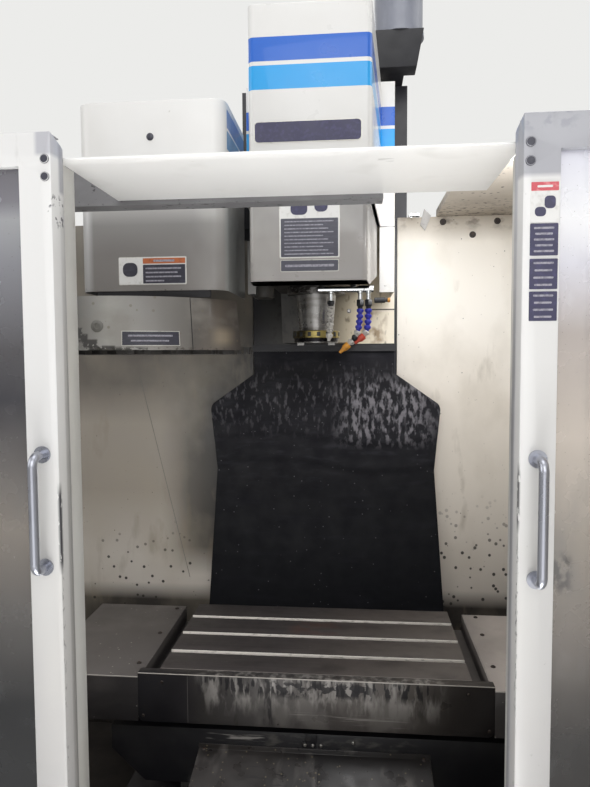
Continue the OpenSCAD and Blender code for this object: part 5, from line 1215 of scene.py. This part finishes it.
@dataclass
class Frame:
    """The fixed structure: castings, guides, enclosure, cabinet, and the changer's bracket and cover."""

    dressing: Dressing
    wall_y: float = 0.459
    roof_z: float = 2.085
    side_x: float = 1.015
    sill_y: float = -0.834

    def build(self) -> None:
        """Gives the fixed nodes their finishes and adds plates and screws."""
        dress = self.dressing.finish
        dress("frame", CASTING_PAINT, "base_casting", "column", "leveling_pads")
        dress("frame", OILED_STEEL, "y_rails", "z_rails")
        dress("y_screw", OILED_STEEL, "y_screw")
        dress("z_screw", OILED_STEEL, "z_screw")
        dress("frame", DARK_ENAMEL, "z_belt_housing", "changer_bracket")
        dress("frame", ANGLE_ENAMEL, "header_angle")
        dress("frame", MOTOR_PAINT, "axis_motors")
        dress("frame", PAN_ENAMEL, "chip_pan")
        dress("frame", PANEL_ENAMEL, "side_panels", "front_panels", "front_sill", "electrical_cabinet")
        dress("frame", TRAY_ENAMEL, "header_tray")
        dress("frame", CREAM_ENAMEL, "rear_walls")
        dress("frame", ROOF_ENAMEL, "roof_panel")
        dress("frame", CHANGER_ENAMEL, "changer_cover")
        dress("cabinet_door", PANEL_ENAMEL, "cabinet_door")
        self.changer_trim()
        self.wall_trim()
        self.outside_trim()
        self.cabinet_trim()

    def changer_trim(self) -> None:
        """Adds the changer cover's two-part plate, its plug, and the dark seal in the gap under it."""
        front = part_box("changer_cover")[0].y
        Sign("changer_plate", (-0.445, 1.779), (-0.286, 1.841), front, PLATE_WHITE, "sheet_white", rim=0.0012,
             corner=0.002).build("frame")
        Sign("changer_plate_dark", (-0.388, 1.781), (-0.288, 1.824), front - 0.0010, PLATE_DARK, thick=0.0006,
             corner=0.001, rows=((0.80, 0.06, 0.9), (0.58, 0.06, 0.82), (0.36, 0.06, 0.9), (0.14, 0.06, 0.5))).build("frame")
        Sign("changer_plate_orange", (-0.388, 1.8265), (-0.288, 1.839), front - 0.0010, PLATE_ORANGE, "plastic_red",
             thick=0.0006, corner=0.001, rows=((0.5, 0.25, 0.75),), row_high=0.005).build("frame")
        Sign("changer_plate_shape", (-0.436, 1.797), (-0.401, 1.829), front - 0.0010, PLATE_DARK, thick=0.0006,
             corner=0.013).build("frame")
        Turned("changer_cover_plug", (-0.366, front, 2.114), [(0.0085, 0), (0.0085, 0.001), (0.006, 0.0025), (0, 0.003)],
               HOLE_PLUG).build("frame", "motor_dark")
        Blocks("changer_seal", [((-0.500, -0.2272, 1.7475), (-0.230, -0.2215, 1.790))], SEAL_RUBBER).build(
            "frame", "rubber_black")

    def wall_trim(self) -> None:
        """Adds the bolts, the gusset and the pipe elbow at the right rear wall, and the seam of the left one."""
        y = self.wall_y
        ScrewSet("wall_bolts", [(0.388, y, 2.045), (0.561, y, 2.044), (0.483, y, 2.002), (0.93, y, 2.044),
                                (-0.60, y, 2.030), (-0.90, y, 2.030)], radius=0.0085, height=0.006,
                 hexagon=True).build("frame")
        bm = bmesh.new()
        outline = [bm.verts.new((x, y - 0.0045, z)) for x, z in
                   ((0.327, 2.088), (0.314, 2.037), (0.330, 2.017), (0.349, 2.065))]
        solid = bmesh.ops.extrude_face_region(bm, geom=[bm.faces.new(outline)])["geom"]
        bmesh.ops.translate(bm, vec=(0, 0.004, 0), verts=[v for v in solid if isinstance(v, bmesh.types.BMVert)])
        bmesh.ops.bevel(bm, geom=bm.edges[:], offset=0.0008, segments=2, profile=0.5, affect="EDGES", material=-1)
        settle(object_of("roof_gusset", closed(bm), PLATE_GREY), "frame")
        Turned("pipe_elbow_run", (0.276, 0.412, 2.058), [(0.0070, 0), (0.0070, 0.020), (0.0092, 0.0205), (0.0092, 0.030),
                                                        (0.0060, 0.031)], CHROME, (1, 0, 0)).build("frame", "bar_chrome")
        Turned("pipe_elbow_foot", (0.281, 0.412, 2.058), [(0.0072, -0.004), (0.0082, 0.004), (0.0072, 0.006),
                                                         (0.0072, 0.016)], CHROME, (0, 1, 0)).build("frame", "bar_chrome")
        bm = bmesh.new()
        ends = Vector((-0.637, y, 1.542)), Vector((-0.472, y, 0.842))
        along = (ends[1] - ends[0]).normalized()
        add_turned(bm, [(0.0009, 0), (0.0009, (ends[1] - ends[0]).length)], at(ends[0], along), 10)
        settle(object_of("wall_seam", closed(bm), GREY_PLUG), "frame")

    def outside_trim(self) -> None:
        """Adds the screws and service panels of the enclosure's front, sides, back and roof."""
        x, y = self.side_x, self.sill_y
        ScrewSet("sill_screws", [(side * px, y, z) for side in (-1, 1) for px in (0.20, 0.55, 0.95) for z in (0.18, 0.60)],
                 finish=OILED_STEEL, radius=0.0065).build("frame")
        ScrewSet("roof_screws", [(px, py, self.roof_z) for px in (0.42, 0.69, 0.96) for py in (-0.09, 0.42)],
                 (0, 0, 1), 0.0065, finish=OILED_STEEL).build("frame")
        ScrewSet("rear_wall_screws", [(side * px, 0.470, z) for side in (-1, 1) for px in (0.56, 0.97)
                                      for z in (0.36, 0.90, 1.45, 2.0)], (0, 1, 0), 0.0065, finish=OILED_STEEL).build("frame")
        for side, word in ((-1, "left"), (1, "right")):
            near, far = sorted((side * x, side * (x + 0.0022)))
            Blocks(f"{word}_service_panels", [((near, -0.60, 0.55), (far, 0.30, 1.12)), ((near, -0.60, 1.30), (far, 0.30, 1.96))],
                   PANEL_ENAMEL, 0.0010).build("frame", "sheet_white")
            ScrewSet(f"{word}_panel_screws", [(side * (x + 0.0022), py, z) for py in (-0.57, -0.15, 0.27)
                                              for z in (0.58, 1.09, 1.33, 1.93)], (side, 0, 0), 0.0065,
                     finish=OILED_STEEL).build("frame")
            Blocks(f"{word}_louvres", [((min(side * x, side * (x + 0.009)), -0.40, z), (max(side * x, side * (x + 0.009)), -0.10, z + 0.007))
                                       for z in [0.70 + 0.030 * i for i in range(9)]], PANEL_ENAMEL, 0.0025).build(
                "frame", "sheet_white")
            ScrewSet(f"{word}_edge_screws", [(side * x, -0.76, z) for z in (0.36, 0.95, 1.50, 2.02)]
                     + [(side * x, 0.43, z) for z in (0.36, 0.95, 1.50, 2.02)], (side, 0, 0), 0.0055,
                     finish=OILED_STEEL).build("frame")

    def cabinet_trim(self) -> None:
        """Adds the fan grille, the main switch, the bare plate and the hinges of the electrical cabinet."""
        face = 1.115
        Turned("fan_ring", (-0.25, face, 1.62), [(0.078, 0), (0.078, 0.006), (0.070, 0.009), (0.062, 0.009), (0.060, 0.004)],
               WHEEL_PLASTIC, (0, 1, 0), 40).build("cabinet_door", "plastic_dark")
        Blocks("fan_bars", [((-0.25 - 0.060, face + 0.001, z), (-0.25 + 0.060, face + 0.006, z + 0.004))
                            for z in [1.565 + 0.012 * i for i in range(10)]], WHEEL_PLASTIC).build(
            "cabinet_door", "plastic_dark")
        Blocks("cabinet_louvres", [((-0.33, face - 0.002, z), (-0.17, face + 0.006, z + 0.008))
                                   for z in [0.55 + 0.026 * i for i in range(8)]], PANEL_ENAMEL, 0.0025).build(
            "cabinet_door", "sheet_white")
        Turned("main_switch_plate", (0.20, face, 1.50), [(0.040, 0), (0.040, 0.002), (0.038, 0.003), (0, 0.003)],
               BEZEL_YELLOW, (0, 1, 0), 36).build("cabinet_door", "plastic_dark")
        Turned("main_switch_knob", (0.20, face + 0.003, 1.50), [(0.026, 0), (0.024, 0.007), (0, 0.008)], BUTTON_RED,
               (0, 1, 0), 36).build("cabinet_door", "plastic_red")
        Blocks("main_switch_bar", [((0.193, face + 0.009, 1.474), (0.207, face + 0.0145, 1.526))], BUTTON_RED,
               0.002).build("cabinet_door", "plastic_red")
        Sign("cabinet_plate", (-0.06, 1.42), (0.08, 1.52), face, PLATE_GREY, "steel", facing=1, rim=0.0015,
             rows=tuple((0.88 - 0.15 * i, 0.08, 0.9 - 0.1 * (i % 2)) for i in range(6)), row_high=0.004,
             row_finish=PRINT_NAVY).build("cabinet_door")
        bm = bmesh.new()
        for z in (0.58, 1.11, 1.64):
            add_turned(bm, [(0.007, -0.045), (0.007, -0.001), (0.0055, 0), (0.007, 0.001), (0.007, 0.045)],
                       at(Vector((-0.4175, 1.099, z))), 20)
        settle(object_of("cabinet_hinges", closed(bm), OILED_STEEL, 40.0), "frame")


@dataclass
class CrossTable:
    """Saddle and table with their guards."""

    dressing: Dressing
    guard_y: float = -0.229
    wing_z: float = 0.840

    def build(self) -> None:
        """Gives the moving table its finishes and screws."""
        dress = self.dressing.finish
        dress("saddle", SADDLE_PAINT, "saddle")
        dress("saddle", OILED_STEEL, "y_blocks", "x_rails")
        dress("saddle", DARK_MOTOR_PAINT, "x_motor")
        dress("saddle", COVER_STEEL, "saddle_front_cover")
        dress("x_screw", OILED_STEEL, "x_screw")
        dress("table", TABLE_IRON, "table")
        dress("table", OILED_STEEL, "x_blocks")
        dress("table", WASHED_STEEL, "table_front_guard")
        dress("table", WING_STEEL, "table_troughs", "table_wings")
        # Thin strips in the slots that carry a painted highlight
        Blocks("slot_edges", [((-0.3742, y + 0.0060, 0.8425), (0.3742, y + 0.0074, 0.8503)) for y in SLOT_YS], SLOT_HIGHLIGHT,
               0.0003).build("table", "table_iron")
        y, z = self.guard_y, self.wing_z
        ScrewSet("guard_screws", [(-0.362, y, 0.829), (-0.410, y, 0.744), (0.410, y, 0.744), (0.362, y, 0.829)],
                 radius=0.0042, height=0.002).build("table")
        ScrewSet("wing_screws", [(-0.441, py, z) for py in (0.013, -0.162, 0.185)]
                 + [(0.451, 0.071, z), (0.442, -0.111, z), (0.455, 0.190, z)], (0, 0, 1), 0.0062, 0.003).build("table")
        ScrewSet("saddle_screws", [(-0.019, -0.2035, 0.674), (0.0, -0.2035, 0.674), (0.097, -0.200, 0.683),
                                   (0.0195, -0.200, 0.672)], radius=0.0045, height=0.003, finish=OILED_STEEL).build("saddle")
        Blocks("saddle_bracket", [((-0.026, -0.2035, 0.667), (0.007, -0.1995, 0.682)),
                                  ((-0.017, -0.2065, 0.680), (0.010, -0.2025, 0.704))], SADDLE_PAINT, 0.001).build(
            "saddle", "cast_dark")
        ScrewSet("cover_screws", [(side * 0.262, -0.225, 0.6655) for side in (-1, 1)], (0, -0.3, 1), 0.005,
                 0.002).build("saddle")


@dataclass
class Head:
    """The spindle head with its covers, hoses and plates."""

    dressing: Dressing
    face_y: float = -0.225

    def build(self) -> None:
        """Gives the head its finishes and adds plates, hoses and the manifold."""
        dress = self.dressing.finish
        dress("head", HEAD_ENAMEL, "head_cover_upper", "head_cover_lower", "head_cover_rear")
        dress("head", HEAD_CASTING_PAINT, "head_casting")
        dress("head", OILED_STEEL, "z_blocks")
        dress("head", GROUND_STEEL, "spindle_cartridge")
        dress("spindle", SPINDLE_STEEL, "spindle")
        dress("head", DARK_MOTOR_PAINT, "spindle_motor")
        dress("motor_pulley", OILED_STEEL, "motor_pulley")
        dress("head", SEAL_RUBBER, "drive_belt")
        dress("head", CLAMP_STEEL, "apron_clamp")
        dress("head", CHROME, "coolant_manifold")
        self.plates()
        self.nose()
        self.hoses()

    def plates(self) -> None:
        """Adds the nameplate and the lower notices, bare of words."""
        y = self.face_y
        Sign("head_nameplate", (-0.124, 2.093), (0.115, 2.137), y, PRINT_NAVY, thick=0.003, corner=0.008,
             rim=0.0018).build("head")
        Sign("head_notice", (-0.069, 1.834), (0.066, 1.970), y, PLATE_WHITE, "sheet_white", rim=0.0012).build("head")
        Sign("head_notice_dark", (-0.0665, 1.836), (0.0635, 1.922), y - 0.0010, PLATE_SLATE, thick=0.0006, corner=0.002,
             rows=tuple((0.92 - 0.094 * i, 0.06, 0.92 - 0.09 * ((i * 5) % 3)) for i in range(10)),
             row_high=0.0026).build("head")
        for i, (low, high) in enumerate((((-0.044, 1.930), (-0.006, 1.958)), ((0.010, 1.936), (0.040, 1.960)))):
            Sign(f"head_notice_shape_{i}", low, high, y - 0.0010, PRINT_NAVY, thick=0.0006, corner=0.011).build("head")
        Sign("head_notice_low", (-0.0665, 1.804), (0.0635, 1.828), y, PLATE_SLATE, rim=0.0016, corner=0.002,
             rows=((0.5, 0.07, 0.93),), row_high=0.0055).build("head")

    def nose(self) -> None:
        """Adds the ring with its windows round the spindle, the boss, the air fitting and the small pin."""
        Turned("nose_ring", (0, 0, 1.657), [(0.050, 0), (0.0598, 0), (0.0612, 0.0016), (0.0612, 0.0175), (0.0598, 0.019),
                                            (0.046, 0.019)], BRASS, (0, 0, 1), 48).build("head", "steel")
        bm = bmesh.new()
        for i in range(16):
            made = add_box(bm, Vector((-0.0045, -0.0618, 1.6615)), Vector((0.0045, -0.0600, 1.6725)), 0.0005)
            bmesh.ops.rotate(bm, cent=(0, 0, 0), matrix=Matrix.Rotation(math.radians(22.5 * i + 9), 3, "Z"),
                             verts=list(made))
        settle(object_of("nose_ring_windows", bm, WHEEL_PLASTIC), "head")
        Turned("casting_boss", (-0.1200, -0.108, 1.7525), [(0.018, 0), (0.0225, 0.003), (0.0225, 0.030), (0.018, 0.033)],
               HEAD_CASTING_PAINT, (0, 0, 1), 32).build("head", "sheet_cream")
        Turned("air_fitting", (0.148, -0.112, 1.7455), [(0.0050, 0), (0.0065, 0.001), (0.0065, 0.026), (0.0045, 0.027),
                                                       (0.0045, 0.032)], BEAD_BLACK, (1, 0, 0)).build("head", "plastic_dark")
        Turned("air_fitting_end", (0.180, -0.112, 1.7455), [(0.0042, 0), (0.0055, 0.001), (0.0055, 0.006), (0.003, 0.007)],
               NOZZLE_ORANGE, (1, 0, 0)).build("head", "plastic_dark")
        Turned("casting_pin", (0.087, -0.131, 1.719), [(0.005, -0.012), (0.005, 0.003), (0.0035, 0.005), (0, 0.005)],
               GROUND_STEEL).build("head", "steel")

    def hoses(self) -> None:
        """Hangs the three hoses from the manifold's middle height."""
        low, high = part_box("coolant_manifold")
        y = (low.y + high.y) / 2
        top = low.z + 0.002
        clear, blue, black = BEAD_CLEAR, BEAD_BLUE, BEAD_BLACK
        pieces = CoolantHose("hose_natural", (0.043, y, top), ((1, clear), (2, clear), (3, clear), (4, clear), (4, clear)),
                             BEAD_CLEAR, nozzle_l=0.018, stub=0.022, fitting_h=0.014, nozzle_lean=8).build()
        CoolantHose("hose_left", (0.114, y, top), ((2, blue), (4, blue), (6, blue), (10, blue), (20, clear), (38, black),
                                                   (46, clear)), NOZZLE_ORANGE, nozzle_lean=47).build()
        CoolantHose("hose_right", (0.134, y, top), ((1, blue), (2, blue), (4, blue), (10, blue), (30, clear)),
                    NOZZLE_RED, nozzle_l=0.029, nozzle_lean=50).build()
        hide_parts("coolant_hoses")


@dataclass
class Changer:
    """The tool changer's carriage, guard and drum."""

    dressing: Dressing
    ring: RingTrim = field(default_factory=RingTrim)

    def build(self) -> None:
        """Gives the changer its finishes and adds the guard's seam, plug and plate."""
        dress = self.dressing.finish
        dress("changer", DARK_MOTOR_PAINT, "changer_carriage")
        dress("changer", GUARD_ENAMEL, "changer_guard")
        dress("drum", DRUM_STEEL, "changer_drum")
        ring = self.ring
        ring.patch("guard_plate_rim", (-78.5, -56.1), (1.6355, 1.6685), (0.0, 0.0010), PLATE_RIM)
        ring.patch("guard_plate", (-78.2, -56.4), (1.6370, 1.6670), (0.0, 0.0016), PLATE_DARK)
        ring.patch("guard_plate_row_0", (-76.0, -59.0), (1.6560, 1.6600), (0.0, 0.0018), PRINT_PALE)
        ring.patch("guard_plate_row_1", (-75.0, -60.5), (1.6450, 1.6485), (0.0, 0.0018), PRINT_PALE)
        ring.patch("guard_seam", (-50.9, -50.6), (1.627, 1.745), (0.0, 0.0006), SEAL_RUBBER)
        point, out = ring.place(-87.9, 1.679)
        Turned("guard_plug", tuple(point), [(0.0135, -0.002), (0.0135, 0.0012), (0.011, 0.0028), (0.006, 0.0030),
                                            (0.005, 0.0018), (0, 0.0018)], GREY_PLUG, tuple(out)).build(
            "changer", "motor_dark")


@dataclass
class Doors:
    """Both sliding doors with their windows, bars and trim."""

    dressing: Dressing

    def build(self) -> None:
        """Gives the doors their finishes and trim."""
        for side, word in ((-1, "left"), (1, "right")):
            body = f"{word}_door"
            self.dressing.finish(body, DOOR_ENAMEL, f"{word}_door")
            self.dressing.finish(body, POLYCARBONATE_MIST_AND_REFLECTION, f"{word}_window")
            self.dressing.finish(body, BAR_ALUMINIUM, f"{word}_handle")
            bm = bmesh.new()
            for z in (1.860, 1.884):
                add_turned(bm, [(0.0065, 0), (0.0065, 0.0012), (0.0048, 0.0024), (0, 0.0026)],
                           at(Vector((side * 0.325, DOOR_FRONT_Y, z)), Vector((0, -1, 0))), 20)
            settle(object_of(f"{word}_door_plugs", closed(bm), HOLE_PLUG), body)
        face = DOOR_FRONT_Y
        Sign("door_notice", (0.3258, 1.781), (0.3610, 1.833), face, PLATE_WHITE, "sheet_white", corner=0.001,
             thick=0.0008).build("right_door")
        Sign("door_notice_red", (0.3262, 1.8215), (0.3606, 1.8325), face - 0.0007, PLATE_RED, "plastic_red", corner=0.0008,
             thick=0.0004, rows=((0.5, 0.22, 0.78),), row_high=0.0028, row_finish=PLATE_WHITE).build("right_door")
        for i, (low, high) in enumerate((((0.331, 1.789), (0.345, 1.801)), ((0.343, 1.799), (0.357, 1.815)))):
            Sign(f"door_notice_shape_{i}", low, high, face - 0.0007, PRINT_NAVY, corner=0.005, thick=0.0004).build(
                "right_door")
        for i, (low, high, count) in enumerate(((1.739, 1.780, 5), (1.696, 1.735, 4), (1.655, 1.693, 4))):
            Sign(f"door_notice_dark_{i}", (0.3255, low), (0.3608, high), face, PRINT_NAVY, corner=0.001, thick=0.0008,
                 rows=tuple((0.86 - 0.72 * k / (count - 1), 0.14 + 0.04 * (k % 2), 0.86 - 0.05 * (k % 2))
                            for k in range(count)), row_high=0.0026).build("right_door")


@dataclass
class Pendant:
    """The control pendant."""

    dressing: Dressing
    columns: int = 11
    rows: int = 6
    key: float = 0.026
    face_y: float = -1.100
    film_y: float = -1.102
    keys_low: tuple[float, float] = (0.546, 1.2208)
    keys_high: tuple[float, float] = (0.964, 1.4508)

    def build(self) -> None:
        """Gives the pendant its finishes, keys and screen."""
        dress = self.dressing.finish
        dress("pendant", PENDANT_PLASTIC, "pendant")
        dress("estop_button", BUTTON_RED, "estop_button")
        dress("start_button", BUTTON_GREEN, "start_button")
        dress("jog_wheel", WHEEL_PLASTIC, "jog_wheel")
        self.keypad()
        self.screen()
        self.rings()

    def keypad(self) -> None:
        """Adds the film and its keys, the right-hand columns in blue."""
        (x0, z0), (x1, z1) = self.keys_low, self.keys_high
        Sign("keypad_film", (x0 + 0.002, z0 + 0.002), (x1 - 0.002, z1 - 0.002), self.film_y, KEYPAD_FILM, "plastic_dark",
             thick=0.0006, corner=0.004).build("pendant")
        step_x, step_z = (x1 - x0) / self.columns, (z1 - z0) / self.rows
        for word, finish, chosen in (("white", KEY_WHITE, lambda c, r: c < 7), ("blue", KEY_BLUE, lambda c, r: c > 7)):
            corners = [((x0 + (c + 0.5) * step_x - self.key / 2, self.film_y - 0.0020, z0 + (r + 0.5) * step_z - self.key / 2),
                        (x0 + (c + 0.5) * step_x + self.key / 2, self.film_y - 0.0004, z0 + (r + 0.5) * step_z + self.key / 2))
                       for c in range(self.columns) for r in range(self.rows) if chosen(c, r)]
            Blocks(f"keys_{word}", corners, finish).build("pendant", "plastic_dark")

    def screen(self) -> None:
        """Adds the glass of the screen and the bezel round it."""
        x0, z0, x1, z1 = 0.546, 1.464, 0.796, 1.654
        Sign("screen_glass", (x0 + 0.008, z0 + 0.008), (x1 - 0.008, z1 - 0.008), -1.098, SCREEN_GLASS, "window_glass",
             thick=0.0010, corner=0.006).build("pendant")
        w, y0, y1 = 0.010, self.face_y - 0.0040, self.face_y + 0.0005
        Blocks("screen_bezel", [((x0 - w, y0, z0 - w), (x1 + w, y1, z0 + 0.002)), ((x0 - w, y0, z1 - 0.002), (x1 + w, y1, z1 + w)),
                                ((x0 - w, y0, z0 + 0.002), (x0 + 0.002, y1, z1 - 0.002)),
                                ((x1 - 0.002, y0, z0 + 0.002), (x1 + w, y1, z1 - 0.002))], WHEEL_PLASTIC, 0.0012).build(
            "pendant", "plastic_dark")

    def rings(self) -> None:
        """Adds the collars of the stop and start buttons and the jog wheel's scale."""
        for name, x, z, inner, outer, finish in (("estop_ring", 0.9148, 1.1704, 0.024, 0.034, BEZEL_YELLOW),
                                                 ("start_ring", 0.8208, 1.1704, 0.015, 0.019, CHROME),
                                                 ("jog_ring", 0.6422, 1.1704, 0.040, 0.048, PLATE_RIM)):
            Turned(name, (x, self.face_y, z), [(outer, -0.0005), (outer, 0.0015), (outer - 0.001, 0.002), (inner, 0.002),
                                               (inner, -0.0005)], finish, steps=40).build("pendant", "plastic_dark")
        bm = bmesh.new()
        for i in range(40):
            a = math.radians(9 * i)
            long = 0.0058 if i % 5 == 0 else 0.0036
            made = list(add_box(bm, Vector((0.0465 - long, -0.0026, -0.0004)), Vector((0.0465, -0.0019, 0.0004))))
            bmesh.ops.rotate(bm, cent=(0, 0, 0), matrix=Matrix.Rotation(a, 3, "Y"), verts=made)
            bmesh.ops.translate(bm, vec=(0.6422, self.face_y, 1.1704), verts=made)
        settle(object_of("jog_scale", bm, PRINT_NAVY), "pendant")


def main() -> None:
    """Builds the room and each sub-assembly."""
    logging.basicConfig(level=logging.INFO, format="%(message)s")
    room = Room()
    room.camera()
    room.floor()
    room.lights()
    dressing = Dressing({
        "left_door": 1.0, "right_door": 1.0, "header_tray": 0.9, "front_panels": 0.9, "changer_cover": 2.2,
        "head_cover_upper": 1.6, "head_cover_lower": 1.6, "head_cover_rear": 1.2, "table": 0.8,
        "table_front_guard": 0.9, "table_wings": 0.9, "table_troughs": 0.9, "saddle_front_cover": 0.9,
        "saddle": 4.0, "z_belt_housing": 2.5, "base_casting": 5.0, "electrical_cabinet": 1.0, "cabinet_door": 3.0,
        "pendant": 2.0, "front_sill": 0.9, "changer_carriage": 2.0, "roof_panel": 0.9})
    for part in (Frame, CrossTable, Head, Changer, Doors, Pendant):
        part(dressing).build()
    Apron().build()
    bpy.context.scene.view_settings.view_transform = "Standard"


if __name__ == "__main__":
    main()
